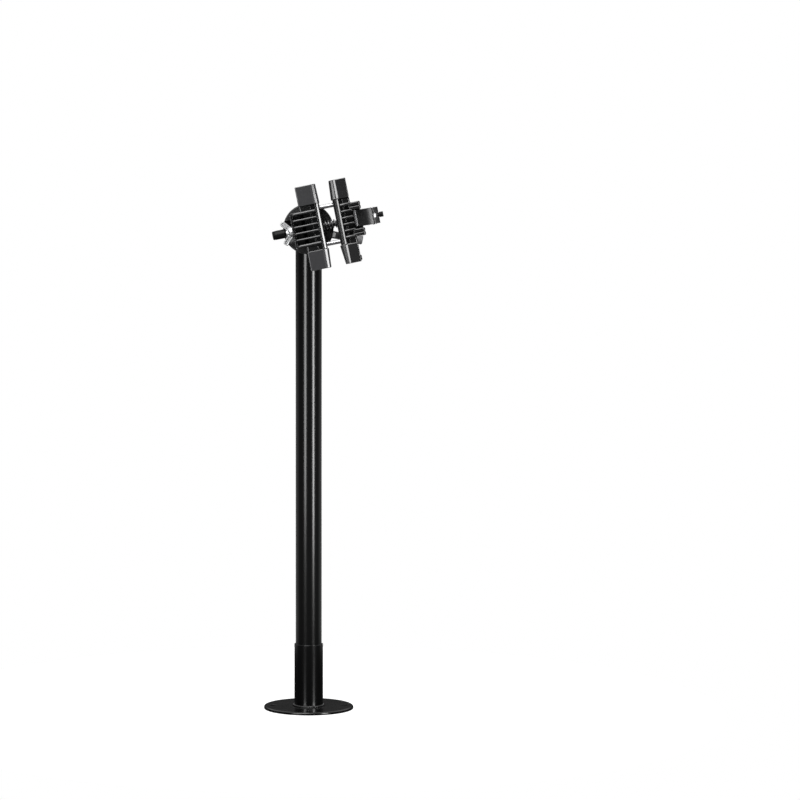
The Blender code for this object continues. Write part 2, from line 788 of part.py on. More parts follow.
def lock_grip(surface, lock):
    start = LOCK_GRIP_REACH - LOCK_GRIP_LENGTH
    floor = LOCK_GRIP_REACH - LOCK_GRIP_END_WALL
    bore = LOCK_TANG_RADIUS + GAP
    nose = LOCK_GRIP_REACH - LOCK_GRIP_EDGE
    flat = LOCK_GRIP_RADIUS - LOCK_GRIP_EDGE
    profile = [(0, floor), (bore, floor), (bore, start), (LOCK_GRIP_RADIUS - MM, start)]
    profile += [(LOCK_GRIP_RADIUS, start + MM), (LOCK_GRIP_RADIUS, nose)]
    for i in range(1, FILLET_STEPS + 1):
        turn = math.radians(90.0) * i / FILLET_STEPS
        profile.append((flat + LOCK_GRIP_EDGE * math.cos(turn), nose + LOCK_GRIP_EDGE * math.sin(turn)))
    profile.append((0, LOCK_GRIP_REACH))
    grip = piece("lock_lever_grip", turned(profile, "u", SMALL_STEPS), surface, lock)
    grip.location = (0, 0, lock_grip_level())
    return grip


# Jaws. Each is drawn by its distance behind the lip that meets the clamped tube,
# so one drawing serves both: side is +1 for the fixed jaw and -1 for the moving one.

class Jaw:
    def __init__(self, name, side, lip, spine, pad_bevel, liner_front):
        self.name = name
        self.side = side
        self.lip = lip
        self.spine = spine
        self.pad_bevel = pad_bevel
        self.liner_front = liner_front

    def u(self, distance):
        return self.lip - self.side * distance

    def across(self, points):
        """Outline points of (distance, w) or (distance, w, radius), moved to their place on the rod."""
        return [(self.u(point[0]), *point[1:]) for point in points]

    def span(self, near, far):
        return sorted((self.u(near), self.u(far)))


FIXED = Jaw("fixed", 1, FIXED_LIP, FIXED_SPINE, FIXED_PAD_BEVEL, FIXED_LINER_FRONT)
MOVING = Jaw("moving", -1, MOVING_LIP, MOVING_SPINE, MOVING_PAD_BEVEL, MOVING_LINER_FRONT)


def groove(bevel_width):
    """The face that grips the tube, from the front: two bevels, a lip and the V groove."""
    return [
        (bevel_width, JAW_FRONT, 0),
        (bevel_width * 0.62, JAW_FRONT - BEVEL_DROP * 0.22, 0),
        (bevel_width * 0.16, JAW_FRONT - BEVEL_DROP * 0.76, 0),
        (0, JAW_FRONT - BEVEL_DROP, 0),
        (0, GROOVE_LEVEL + GROOVE_HALF_HEIGHT, 0),
        (GROOVE_DEPTH, GROOVE_LEVEL + GROOVE_FLAT / 2, 0),
        (GROOVE_DEPTH, GROOVE_LEVEL - GROOVE_FLAT / 2, 0),
        (0, GROOVE_LEVEL - GROOVE_HALF_HEIGHT, 0),
        (0, GROOVE_FOOT, 0),
    ]


def jaw_liner(jaw, surface, parent):
    """The V-shaped strip between the two pads."""
    shoulder = JAW_FRONT - LINER_SHOULDER
    outline = jaw.across([
        *groove(jaw.liner_front),
        (LINER_WIDTH, GROOVE_FOOT, 0),
        (LINER_WIDTH, shoulder, 0),
        (jaw.liner_front, shoulder, 0),
    ])
    half = BODY_HALF_LENGTH
    return piece(f"{jaw.name}_jaw_liner", prism(rounded(outline), -half, half, "v"), surface, parent)


def jaw_pad(jaw, end, surface, parent):
    """A rubber block on one end of a jaw; end is +1 for the upper block and -1 for the lower."""
    outline = jaw.across([
        *groove(jaw.pad_bevel),
        (FACE_SETBACK, JAW_BACK, 0),
        (jaw.spine, JAW_BACK, PAD_EDGE),
        (jaw.spine, JAW_FRONT, PAD_EDGE),
    ])
    inner = BODY_HALF_LENGTH + GAP
    low, high = sorted((end * inner, end * JAW_HALF_LENGTH))
    where = "upper" if end > 0 else "lower"
    pad = piece(f"{jaw.name}_pad_{where}", prism(rounded(outline, 3), low, high, "v"), surface, parent)
    near, far = jaw.span(LINER_WIDTH, jaw.spine - PAD_WALL)
    floor = JAW_HALF_LENGTH - PAD_WALL
    low, high = sorted((end * (inner - MM), end * floor))
    pocket = box((near, low, JAW_BACK + PAD_WALL), (far, high, JAW_FRONT - PAD_WALL))
    cut(pad, pocket, "pocket")
    if jaw is MOVING and end < 0:
        tab_low = PAD_EDGE - JAW_HALF_LENGTH
        tab = box(
            (jaw.u(jaw.spine) - PAD_EDGE, tab_low, JAW_BACK + 2 * PAD_EDGE),
            (jaw.u(jaw.spine) + PAD_TAB_REACH, tab_low + PAD_TAB_LENGTH, JAW_BACK + PAD_TAB_DEPTH),
        )
        join(pad, tab, "tab", soft=0.5 * MM)
    return pad


def jaw_tongues(jaw):
    """The two tongues that carry the pads."""
    near, far = jaw.span(BODY_FACE + TONGUE_INSET, jaw.spine - PAD_WALL - GAP)
    back = JAW_BACK + PAD_WALL + GAP
    front = JAW_FRONT - PAD_WALL - GAP
    tip = JAW_HALF_LENGTH - PAD_WALL - GAP
    root = BODY_HALF_LENGTH - RIB_ROOT
    return merged([
        box((near, root, back), (far, tip, front - NECK_DROP)),
        box((near, -tip, back), (far, -root, front - NECK_DROP)),
    ])


def fin_outline(jaw, reach, corner):
    """A rib seen along the jaw: it stands on the floor and laps over the liner's shoulder."""
    foot = FIN_FLOOR - RIB_ROOT
    step = JAW_FRONT - LINER_SHOULDER + GAP
    return rounded(jaw.across([
        (BODY_FACE + GAP, foot, 0),
        (BODY_FACE + GAP, step, 0),
        (jaw.liner_front + GAP, step, 0),
        (jaw.liner_front + GAP, JAW_FRONT, FIN_TIP_CORNER),
        (reach, JAW_FRONT, corner),
        (reach, foot, 0),
    ]))


def fins(jaw, reaches, corner):
    """The ribs; the two outer ones are thicker. reaches gives how far each goes back from the lip."""
    shapes = []
    for place, reach in zip(FIN_PLACES, reaches):
        outer = place in (FIN_PLACES[0], FIN_PLACES[-1])
        half = (END_FIN_THICKNESS if outer else FIN_THICKNESS) / 2
        shapes.append(prism(fin_outline(jaw, reach, corner), place - half, place + half, "v"))
    return merged(shapes)


def jaw_spine(jaw, surface, parent):
    """The jaw's backbone: full depth at its ends, and cut down to a floor where the ribs stand."""
    outline = rounded(jaw.across([
        (FACE_SETBACK, JAW_BACK, 0),
        (FACE_SETBACK, GROOVE_FOOT - GAP, 0),
        (BODY_FACE, GROOVE_FOOT - GAP, 0),
        (BODY_FACE, JAW_FRONT - NECK_DROP, 0),
        (jaw.spine, JAW_FRONT - NECK_DROP, SPINE_CORNER),
        (jaw.spine, JAW_BACK, 0),
    ]))
    half = BODY_HALF_LENGTH
    body = piece(f"{jaw.name}_jaw", prism(outline, -half, half, "v"), surface, parent)
    near, far = jaw.span(BODY_FACE + LINER_WALL, jaw.spine + 2 * RIB_ROOT)
    half = FIN_PLACES[-1] + (END_FIN_THICKNESS - RIB_ROOT / 5) / 2
    cut(body, box((near, -half, FIN_FLOOR), (far, half, 2 * JAW_FRONT)), "rib_floor")
    return body


def jaw_bores(jaw, body, rod_radius, far_end):
    """The rod's bore with its spring pocket, and the guide pins' holes."""
    low, high = sorted((jaw.u(-MM), far_end))
    cut(body, rod(rod_radius, low, high, "u", (0, ROD_LEVEL)), "rod_bore")
    low, high = jaw.span(-MM, SPRING_POCKET_DEPTH)
    cut(body, rod(SPRING_POCKET_RADIUS, low, high, "u", (0, ROD_LEVEL)), "spring_pocket")


def guide_holes(jaw, body, radius, far_end):
    low, high = sorted((jaw.u(-MM), far_end))
    holes = []
    for v in (-GUIDE_PIN_SPREAD, GUIDE_PIN_SPREAD):
        holes.append(rod(radius, low, high, "u", (v, ROD_LEVEL)))
    cut(body, merged(holes), "guide_holes")


def fixed_jaw(surface, head):
    """The left jaw, screwed to the hub disc. Its ribbed middle bulges out to the wing nut."""
    body = jaw_spine(FIXED, surface, head)
    inner = FIXED.u(FIXED.spine) + RIB_ROOT
    bulge = rounded([
        (-BULGE_REACH, -BULGE_HALF_LENGTH, BULGE_CORNER),
        (inner, -BULGE_HALF_LENGTH, 0),
        (inner, BULGE_HALF_LENGTH, 0),
        (-BULGE_REACH, BULGE_HALF_LENGTH, BULGE_CORNER),
    ])
    join(body, prism(bulge, JAW_BACK, FIN_FLOOR), "bulge")
    wall_half = BULGE_HALF_LENGTH - RIB_ROOT
    wall_top = JAW_FRONT - SIDE_WALL_DROP
    wall = box(
        (-BULGE_REACH + GAP, -wall_half, FIN_FLOOR - RIB_ROOT),
        (-BULGE_REACH + SIDE_WALL, wall_half, wall_top),
    )
    join(body, wall, "side_wall")
    join(body, fins(FIXED, [BULGE_DISTANCE] * FIN_COUNT, FIN_CORNER), "ribs", soft=FIN_EDGE)
    join(body, jaw_tongues(FIXED), "tongues")
    jaw_bores(FIXED, body, ROD_RADIUS + SLIDING_GAP, -2 * BULGE_REACH)
    guide_holes(FIXED, body, GUIDE_PIN_RADIUS + GAP, FIXED.u(GUIDE_PIN_SET) - GAP)
    seat = rod(NUT_SEAT_RADIUS, -2 * BULGE_REACH, NUT_SEAT, "u", (0, ROD_LEVEL))
    cut(body, seat, "nut_seat")
    depth = JAW_BACK + JAW_SCREW_BITE + GAP
    holes = [
        rod(JAW_SCREW_RADIUS + GAP, JAW_BACK - MM, depth, centre=(u, v))
        for _, u, v in jaw_screw_places()
    ]
    cut(body, merged(holes), "screw_holes")
    return body


def arm_blocks():
    """The moving jaw's two arms beside the cam."""
    start = MOVING.u(MOVING.spine) - RIB_ROOT / 2
    outline = rounded([
        (start, FIN_FLOOR - RIB_ROOT, 0),
        (ARM_END - GAP, FIN_FLOOR - RIB_ROOT, 0),
        (ARM_END - GAP, JAW_FRONT - ARM_DROP, ARM_CORNER),
        (start, JAW_FRONT - ARM_DROP, 0),
    ])
    low = POCKET_HALF_WIDTH + GAP
    high = BULGE_HALF_LENGTH - GAP
    return merged([prism(outline, low, high, "v"), prism(outline, -high, -low, "v")])


def arm_ribs():
    """The ribs along the arms, spread evenly over each arm's width."""
    start = MOVING.u(MOVING.spine) - RIB_ROOT
    outline = rounded([
        (start, FIN_FLOOR - RIB_ROOT, 0),
        (ARM_END, FIN_FLOOR - RIB_ROOT, 0),
        (ARM_END, JAW_FRONT - ARM_RIB_DROP, ARM_CORNER),
        (start, JAW_FRONT - ARM_RIB_DROP, 0),
    ])
    half = ARM_RIB_THICKNESS / 2
    first = POCKET_HALF_WIDTH + half + 2 * GAP
    pitch = (BULGE_HALF_LENGTH - half - 2 * GAP - first) / (ARM_RIB_COUNT - 1)
    ribs = []
    for i in range(ARM_RIB_COUNT):
        low = first + i * pitch - half
        high = first + i * pitch + half
        ribs.append(prism(outline, low, high, "v"))
        ribs.append(prism(outline, -high, -low, "v"))
    return merged(ribs)


def moving_jaw(surface, slide):
    """The right jaw, which slides on the rod and pins; its arms hold the cam's seat between them."""
    body = jaw_spine(MOVING, surface, slide)
    start = MOVING.u(MOVING.spine) - RIB_ROOT
    fork = prism([
        (start, -BULGE_HALF_LENGTH),
        (ARM_END, -BULGE_HALF_LENGTH),
        (ARM_END, -POCKET_HALF_WIDTH),
        (POCKET_FLOOR, -POCKET_HALF_WIDTH),
        (POCKET_FLOOR, POCKET_HALF_WIDTH),
        (ARM_END, POCKET_HALF_WIDTH),
        (ARM_END, BULGE_HALF_LENGTH),
        (start, BULGE_HALF_LENGTH),
    ], JAW_BACK + BACK_STEP, FIN_FLOOR - FLOOR_STEP)
    join(body, fork, "fork")
    join(body, arm_blocks(), "arms")
    reach = POCKET_FLOOR - MOVING_LIP - GAP
    join(body, fins(MOVING, [reach] * FIN_COUNT, MOVING_FIN_CORNER), "ribs", soft=FIN_EDGE)
    join(body, arm_ribs(), "arm_ribs")
    join(body, jaw_tongues(MOVING), "tongues")
    jaw_bores(MOVING, body, ROD_RADIUS + SLIDING_GAP, ARM_END)
    guide_holes(MOVING, body, GUIDE_PIN_RADIUS + SLIDING_GAP, ARM_END + MM)
    return body


def guide_pin(name, v, surface, head):
    """A steel pin, fixed in one jaw and sliding in the other."""
    low = FIXED.u(GUIDE_PIN_SET)
    high = MOVING.u(MOVING.spine) - GUIDE_PIN_END_INSET
    edge = 0.6 * MM
    pin = piece(
        name,
        turned([
            (0, low),
            (GUIDE_PIN_RADIUS, low),
            (GUIDE_PIN_RADIUS, high - edge),
            (GUIDE_PIN_RADIUS - edge, high),
            (0, high),
        ], "u", SMALL_STEPS),
        surface,
        head,
    )
    pin.location = (0, v, ROD_LEVEL)
    return pin


# Clamp rod and its fittings

def rod_washer(surface, head):
    bore = ROD_RADIUS + SLIDING_GAP
    washer = piece(
        "rod_washer",
        turned([
            (bore, ROD_WASHER_OUTER),
            (ROD_WASHER_RADIUS, ROD_WASHER_OUTER),
            (ROD_WASHER_RADIUS, NUT_SEAT - GAP),
            (bore, NUT_SEAT - GAP),
        ], "u", 32),
        surface,
        head,
    )
    washer.location = (0, 0, ROD_LEVEL)
    return washer


def clamp_rod(surface, slide):
    neck = CAM_PIVOT - CAM_BARREL_RADIUS - GAP
    bar = piece(
        "clamp_rod",
        turned([
            (0, ROD_START),
            (ROD_RADIUS, ROD_START),
            (ROD_RADIUS, neck),
            (ROD_NECK_RADIUS, neck),
            (ROD_NECK_RADIUS, ROD_NUT_OUTER - GAP),
            (0, ROD_NUT_OUTER - GAP),
        ], "u", SMALL_STEPS),
        surface,
        slide,
    )
    bar.location = (0, 0, ROD_LEVEL)
    return bar


def rod_end_nut(surface, slide):
    """The small round nut outside the cam, which holds the cam pin on the rod."""
    edge = 0.5 * MM
    bore = ROD_NECK_RADIUS + GAP
    nut = piece(
        "rod_end_nut",
        turned([
            (bore, ROD_NUT_INNER),
            (ROD_NUT_RADIUS, ROD_NUT_INNER),
            (ROD_NUT_RADIUS, ROD_NUT_OUTER - edge),
            (ROD_NUT_RADIUS - edge, ROD_NUT_OUTER),
            (bore, ROD_NUT_OUTER),
        ], "u", SMALL_STEPS),
        surface,
        slide,
    )
    nut.location = (0, 0, ROD_LEVEL)
    return nut


def rod_end_cap(surface, slide):
    """The soft cap over the rod's threaded end."""
    end = CAP_INNER - CAP_LENGTH
    bore = ROD_RADIUS + GAP
    cap = piece(
        "rod_end_cap",
        turned([
            (0, end),
            (CAP_RADIUS - CAP_EDGE, end),
            (CAP_RADIUS - CAP_EDGE / 3, end + CAP_EDGE / 3),
            (CAP_RADIUS, end + CAP_EDGE),
            (CAP_RADIUS, CAP_INNER),
            (bore, CAP_INNER),
            (bore, end + CAP_END),
            (0, end + CAP_END),
        ], "u", SMALL_STEPS),
        surface,
        slide,
    )
    cap.location = (0, 0, ROD_LEVEL)
    return cap


def wing_nut(surface, turn):
    """A nut with two swept wings, which sets how wide the jaws stand."""
    end = WING_SEAT - WING_HUB_LENGTH
    nut = piece(
        "wing_nut",
        turned([
            (0, end),
            (WING_HUB_RADIUS - MM, end),
            (WING_HUB_RADIUS, end + MM),
            (WING_HUB_RADIUS, WING_SEAT),
            (0, WING_SEAT),
        ], "u", SMALL_STEPS),
        surface,
        turn,
    )
    run = Vector((-WING_RISE, WING_SPREAD)).normalized()
    across = Vector((-run.y, run.x)) * WING_THICKNESS
    wings = []
    for side in (1, -1):
        root = Vector((WING_SEAT - GAP, 0))
        tip = Vector((WING_SEAT - WING_RISE, WING_SPREAD))
        corners = [root, tip, tip + across, root + across]
        wing = rounded([
            (corner.x, side * corner.y, WING_THICKNESS * 0.3 * (i in (1, 2)))
            for i, corner in enumerate(corners)
        ])
        wings.append(wing)
    half = WING_WIDTH / 2
    for label, wing in zip(("upper_wing", "lower_wing"), wings):
        join(nut, prism(wing, -half, half), label, soft=0.8 * MM)
    cut(nut, rod(ROD_RADIUS + GAP, 2 * WING_SEAT, 0, "u"), "thread")
    return nut


def spring_route():
    """The coil's centre line: a helix with a short straight end square to each pocket floor."""
    low = FIXED.u(SPRING_POCKET_DEPTH) + GAP
    high = MOVING.u(SPRING_POCKET_DEPTH) - GAP
    straight = 2 * SPRING_WIRE_RADIUS
    count = SPRING_TURNS * SPRING_POINTS_PER_TURN
    rise = (high - low - 2 * straight) / count
    route = [(low, SPRING_RADIUS, ROD_LEVEL)]
    for i in range(count + 1):
        turn = math.tau * i / SPRING_POINTS_PER_TURN
        v = SPRING_RADIUS * math.cos(turn)
        w = ROD_LEVEL + SPRING_RADIUS * math.sin(turn)
        route.append((low + straight + i * rise, v, w))
    route.append((high, SPRING_RADIUS, ROD_LEVEL))
    return route


def jaw_spring(surface, head):
    """An open coil round the rod, which pushes the jaws apart; prints its least gap to itself."""
    route = spring_route()
    curve = bpy.data.curves.new("jaw_spring", "CURVE")
    curve.dimensions = "3D"
    curve.bevel_depth = SPRING_WIRE_RADIUS
    curve.bevel_resolution = 1
    curve.use_fill_caps = True
    line = curve.splines.new("POLY")
    line.points.add(len(route) - 1)
    for point, place in zip(line.points, route):
        point.co = (*place, 1.0)
    curve.materials.append(surface)
    thing = bpy.data.objects.new("jaw_spring", curve)
    bpy.context.scene.collection.objects.link(thing)
    thing.parent = head
    weld = thing.modifiers.new("closed ends", "WELD")
    weld.merge_threshold = 0.01 * MM
    apart = [
        (Vector(a) - Vector(b)).length
        for i, a in enumerate(route)
        for b in route[i + SPRING_POINTS_PER_TURN // 2:]
    ]
    least = min(apart) - 2 * SPRING_WIRE_RADIUS
    print(f"jaw_spring least gap to itself: {least / MM:.2f} mm")
    return thing


# Cam lever

def cam_face(turn):
    """A point of the cam face that bears on its seat after the lever has swung by turn.

    The bearing distance falls by the same amount for each degree, so the jaw opens evenly.
    """
    reach = CAM_REACH - CAM_RATE * turn
    u = -reach * math.cos(turn) - CAM_RATE * math.sin(turn)
    w = reach * math.sin(turn) - CAM_RATE * math.cos(turn)
    return u, w


def cam_outline():
    """The lever seen along its pin: the cam, its round end, and the handle running back."""
    outline = [cam_face(CAM_SWING * i / CAM_STEPS) for i in range(CAM_STEPS + 1)]
    least = CAM_REACH - CAM_TRAVEL
    first = math.pi - CAM_SWING - math.acos(min(1.0, least / CAM_END_RADIUS))
    for i in range(FILLET_STEPS * 2 + 1):
        turn = first - (first + math.radians(35.0)) * i / (FILLET_STEPS * 2)
        outline.append((CAM_END_RADIUS * math.cos(turn), CAM_END_RADIUS * math.sin(turn)))
    shoulder = CAM_SLOT_REACH + CAM_LEVER_TIP
    tip = -CAM_LEVER_LENGTH
    half = CAM_LEVER_TIP / 2
    outline += rounded([
        (CAM_LEVER_ROOT / 2 + MM, -shoulder, 0),
        (CAM_LEVER_SWEEP + half, tip, half * 0.9),
        (CAM_LEVER_SWEEP - half, tip, half * 0.9),
        (-CAM_LEVER_ROOT / 2 + MM, -shoulder, 0),
    ])
    outline.append((-CAM_REACH * 0.86, -CAM_REACH * 0.72))
    return outline


def cam_lever(surface, swing):
    """The quick lever: a forked cam on the pin, and a handle that lies back when it is closed."""
    half = CAM_WIDTH / 2
    lever = piece("cam_lever", prism(cam_outline(), -half, half, "v"), surface, swing)
    bevel(lever, CAM_EDGE)
    slot = CAM_SLOT_WIDTH / 2
    cut(lever, rod(CAM_SLOT_REACH, -slot, slot, "v", steps=32), "rod_slot")
    cut(lever, rod(CAM_PIN_RADIUS + GAP, -2 * half, 2 * half, "v"), "pin_bore")
    return lever


def cam_pin(surface, slide):
    """The barrel in the fork, drilled for the rod's end, with its two journals in the cheeks."""
    end = CAM_WIDTH / 2 + CAM_PIN_HEAD
    edge = 0.6 * MM
    half = CAM_SLOT_WIDTH / 2 - GAP
    pin = piece(
        "cam_pin",
        turned([
            (0, -end),
            (CAM_PIN_RADIUS - edge, -end),
            (CAM_PIN_RADIUS, edge - end),
            (CAM_PIN_RADIUS, -half),
            (CAM_BARREL_RADIUS, -half),
            (CAM_BARREL_RADIUS, half),
            (CAM_PIN_RADIUS, half),
            (CAM_PIN_RADIUS, end - edge),
            (CAM_PIN_RADIUS - edge, end),
            (0, end),
        ], "v", SMALL_STEPS),
        surface,
        slide,
    )
    pin.location = (CAM_PIVOT, 0, ROD_LEVEL)
    reach = 2 * CAM_BARREL_RADIUS
    cut(pin, rod(ROD_NECK_RADIUS + GAP, -reach, reach, "u"), "rod_hole")
    return pin


def cam_washer(surface, slide):
    """The steel plate between the moving jaw and the cam's seat."""
    half = CAM_WIDTH / 2
    plate = piece(
        "cam_washer",
        box(
            (CAM_WASHER_INNER, -half, ROD_LEVEL - CAM_WASHER_BACK_REACH),
            (CAM_WASHER_INNER + CAM_WASHER_THICKNESS, half, cam_hood_front()),
        ),
        surface,
        slide,
    )
    bevel(plate, 0.5 * MM)
    bore = rod(ROD_RADIUS + SLIDING_GAP, 0, 2 * CAM_WASHER_INNER, "u", (0, ROD_LEVEL))
    cut(plate, bore, "bore")
    return plate


def cam_hood_front():
    return ROD_LEVEL + CAM_REACH + CAM_HOOD_CLEARANCE + CAM_HOOD_THICKNESS


def cam_seat(surface, slide):
    """The moulded block that the cam bears on; its hood covers the cam from the front."""
    under = ROD_LEVEL + CAM_REACH + CAM_HOOD_CLEARANCE
    front = cam_hood_front()
    back = ROD_LEVEL - CAM_WASHER_BACK_REACH
    hood_end = CAM_PIVOT - CAM_HOOD_INSET
    middle = (CAM_SEAT_INNER + hood_end) / 2
    outline = rounded([
        (CAM_SEAT_INNER, back, 0),
        (CAM_SEAT_FACE, back, 1 * MM),
        (CAM_SEAT_FACE, under, 1 * MM),
        (hood_end, under, 0.8 * MM),
        (hood_end, front - CAM_HOOD_CROWN, CAM_HOOD_CORNER),
        (middle, front, CAM_HOOD_BOW),
        (CAM_SEAT_INNER, front - CAM_HOOD_CROWN, 1 * MM),
    ])
    half = CAM_WIDTH / 2
    seat = piece("cam_seat", prism(outline, -half, half, "v"), surface, slide)
    bevel(seat, CAM_EDGE)
    bore = rod(ROD_RADIUS + SLIDING_GAP, CAM_SEAT_INNER - MM, CAM_SEAT_FACE + MM, "u", (0, ROD_LEVEL))
    cut(seat, bore, "bore")
    return seat


def main():
    clear_scene()
    paint = finish("black paint", (0.012, 0.012, 0.013), 0.3)
    weld = finish("painted weld", (0.016, 0.016, 0.017), 0.45)
    casting = finish("black casting", (0.014, 0.014, 0.015), 0.42)
    moulding = finish("black moulding", (0.010, 0.010, 0.011), 0.28)
    gloss = finish("gloss moulding", (0.008, 0.008, 0.009), 0.16)
    rubber = finish("grey-black rubber", (0.042, 0.042, 0.044), 0.78)
    vinyl = finish("black vinyl", (0.016, 0.016, 0.017), 0.35)
    zinc = finish("bright zinc", (0.62, 0.63, 0.64), 0.26, 1.0)
    steel = finish("plain steel", (0.45, 0.45, 0.46), 0.35, 1.0)
    black_steel = finish("blacked steel", (0.03, 0.03, 0.032), 0.38, 0.8)
    nylon = finish("pale nylon", (0.55, 0.54, 0.50), 0.5)
    fibre = finish("brown fibre", (0.16, 0.10, 0.06), 0.8)

    base_plate(paint)
    foot_weld(weld)
    base_socket(paint)
    for where, level in socket_screw_levels().items():
        socket_screw(f"socket_screw_{where}", level, black_steel)
    post_tube(paint)

    quarter = math.radians(90.0)
    stand = pivot("stand_head", location=(0, 0, HEAD_HEIGHT), rotation=(quarter, 0, 0))
    head_barrel(paint, stand)
    fixed_disc(paint, stand)
    friction_lining(fibre, stand)
    front_bush(nylon, stand)
    rear_bush(nylon, stand)

    head = pivot("clamp_head", stand, rotation=(0, 0, CLAMP_TILT))
    hub_disc(casting, head)
    spindle(steel, head)
    thrust_washer(steel, head)
    stop_nut(zinc, head)
    for name, u, v in jaw_screw_places():
        jaw_screw(name, u, v, black_steel, head)
    fixed_jaw(moulding, head)
    jaw_liner(FIXED, gloss, head)
    jaw_pad(FIXED, 1, rubber, head)
    jaw_pad(FIXED, -1, rubber, head)
    guide_pin("guide_pin_upper", GUIDE_PIN_SPREAD, steel, head)
    guide_pin("guide_pin_lower", -GUIDE_PIN_SPREAD, steel, head)
    rod_washer(black_steel, head)
    jaw_spring(steel, head)

    lock = pivot("lock_pivot", head, rotation=(0, 0, LOCK_ANGLE))
    lock_lever(casting, lock)
    lock_grip(vinyl, lock)

    turn = pivot("wing_nut_axis", head, location=(0, 0, ROD_LEVEL))
    wing_nut(zinc, turn)

    slide = pivot("rod_slide", head)
    clamp_rod(black_steel, slide)
    rod_end_nut(black_steel, slide)
    rod_end_cap(vinyl, slide)
    cam_pin(zinc, slide)

    swing = pivot("cam_pivot", slide, location=(CAM_PIVOT, 0, ROD_LEVEL))
    cam_lever(casting, swing)

    follow = pivot("moving_jaw_slide", slide)
    moving_jaw(moulding, follow)
    jaw_liner(MOVING, gloss, follow)
    jaw_pad(MOVING, 1, rubber, follow)
    jaw_pad(MOVING, -1, rubber, follow)
    cam_washer(steel, follow)
    cam_seat(moulding, follow)


main()
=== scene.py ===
"""The finished look of the bike repair stand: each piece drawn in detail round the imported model.

Lengths are millimetres and angles degrees. The shaders, the studio and names that end in _m are
in metres. Pieces of the stand are drawn along x, y and z. Pieces of the turning head are drawn
along u (the clamp rod), v (the jaws) and w (out towards the viewer).
"""
from math import acos, atan2, cos, pi, radians, sin, sqrt, tan, tau

import bmesh
import bpy
from mathutils import Matrix, Vector, noise


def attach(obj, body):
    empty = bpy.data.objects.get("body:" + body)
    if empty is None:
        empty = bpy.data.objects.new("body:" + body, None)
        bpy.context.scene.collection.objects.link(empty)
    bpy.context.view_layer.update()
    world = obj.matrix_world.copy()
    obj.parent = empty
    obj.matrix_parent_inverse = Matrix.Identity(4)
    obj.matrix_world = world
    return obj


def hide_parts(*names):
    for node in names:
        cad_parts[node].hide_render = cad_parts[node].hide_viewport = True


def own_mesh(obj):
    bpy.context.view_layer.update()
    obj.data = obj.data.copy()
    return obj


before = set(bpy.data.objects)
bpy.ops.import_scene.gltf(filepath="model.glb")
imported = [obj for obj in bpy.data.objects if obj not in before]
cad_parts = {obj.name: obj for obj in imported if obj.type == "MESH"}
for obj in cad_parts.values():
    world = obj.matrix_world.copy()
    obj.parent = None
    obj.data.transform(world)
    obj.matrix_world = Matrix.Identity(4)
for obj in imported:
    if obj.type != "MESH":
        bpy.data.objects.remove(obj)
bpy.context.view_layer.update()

# Sizes of the stand
HEAD_HEIGHT = 695.0
CLAMP_TILT = 11.4
PLATE_RADIUS = 65.0
PLATE_THICKNESS = 4.0
BOLTS = 4
BOLT_CIRCLE = 52.0
BOLT_HOLE = 4.5
POST_RADIUS = 19.0
POST_WALL = 2.0
SOCKET_RADIUS = 20.9
SOCKET_BORE = 19.3
SOCKET_TOP = 94.3
FOOT = 4.3
BOSS_FACE = 26.9
SOCKET_SCREW_LEVELS = {"lower": 34.3, "upper": 70.3}
BARREL_RADIUS = 21.0
BARREL_BORE = 13.0
SPINDLE_BORE = 8.3

# Levels of the head along w
BARREL_BACK = -25.0
BARREL_FRONT = 75.5
HUB_BACK = 83.4
HUB_FRONT = 97.9
HUB_SEAT = 92.1
JAW_BACK = 98.2
JAW_FRONT = 151.0
ROD_LEVEL = 108.5
RIB_FLOOR = 120.0
GROOVE_FOOT = 117.4
NUT_BACK = -53.7
NUT_FRONT = -47.7
LOCK_FRONT = -29.4
LOCK_BACK = -47.4
LOCK_TURN = -21.8

# Places along u
FIXED_LIP = 21.5
MOVING_LIP = 40.5
FORK_FACE = 65.7
ARM_END = 77.5
CAM_PIVOT = 92.9
NUT_SEAT = -19.4
WING_SEAT = -22.0
CAP_INNER = -33.1
ROD_BORE = 4.4

# Places along v
ENDS = (("upper", 1), ("lower", -1))
CORE_HALF = 31.7
PAD_INNER = 32.0
JAW_HALF = 59.0
RIBS_HALF = 24.6
BACK_HALF = 24.2
RIB_PLACES = [-22.5, -13.5, -4.5, 4.5, 13.5, 22.5]

# The screws behind the fixed jaw, by their u and their v to each side
JAW_SCREWS = {"outer": (-14.5, 20.0), "inner": (11.5, 14.0)}

# The cam: its greatest reach, how much of it one swing takes back, and its round rear
CAM_REACH = 10.5
CAM_TRAVEL = 3.6
CAM_SWING = radians(120)
CAM_REAR = 7.9


# Drawing tools

def lay(points, axis):
    """Turns (a, b, along) points so that the last number runs along axis u, v or w."""
    if axis == "u":
        return [(c, a, b) for a, b, c in points]
    if axis == "v":
        return [(a, c, b) for a, b, c in points]
    return list(points)


def around(count):
    """Even turns round a circle."""
    return [tau * i / count for i in range(count)]


def circle(radius, level, count):
    return [(radius * cos(turn), radius * sin(turn), level) for turn in around(count)]


def hexagon(radius, shift=0.0):
    """A hexagon by its corner radius. A shift of 0.5 turns it by half a side."""
    turns = [tau * (i + shift) / 6 for i in range(6)]
    return [(radius * cos(turn), radius * sin(turn)) for turn in turns]


def facing_out(shape):
    bmesh.ops.recalc_face_normals(shape, faces=shape.faces)
    return shape


def merged(shape):
    bmesh.ops.remove_doubles(shape, verts=shape.verts, dist=1e-4)
    return facing_out(shape)


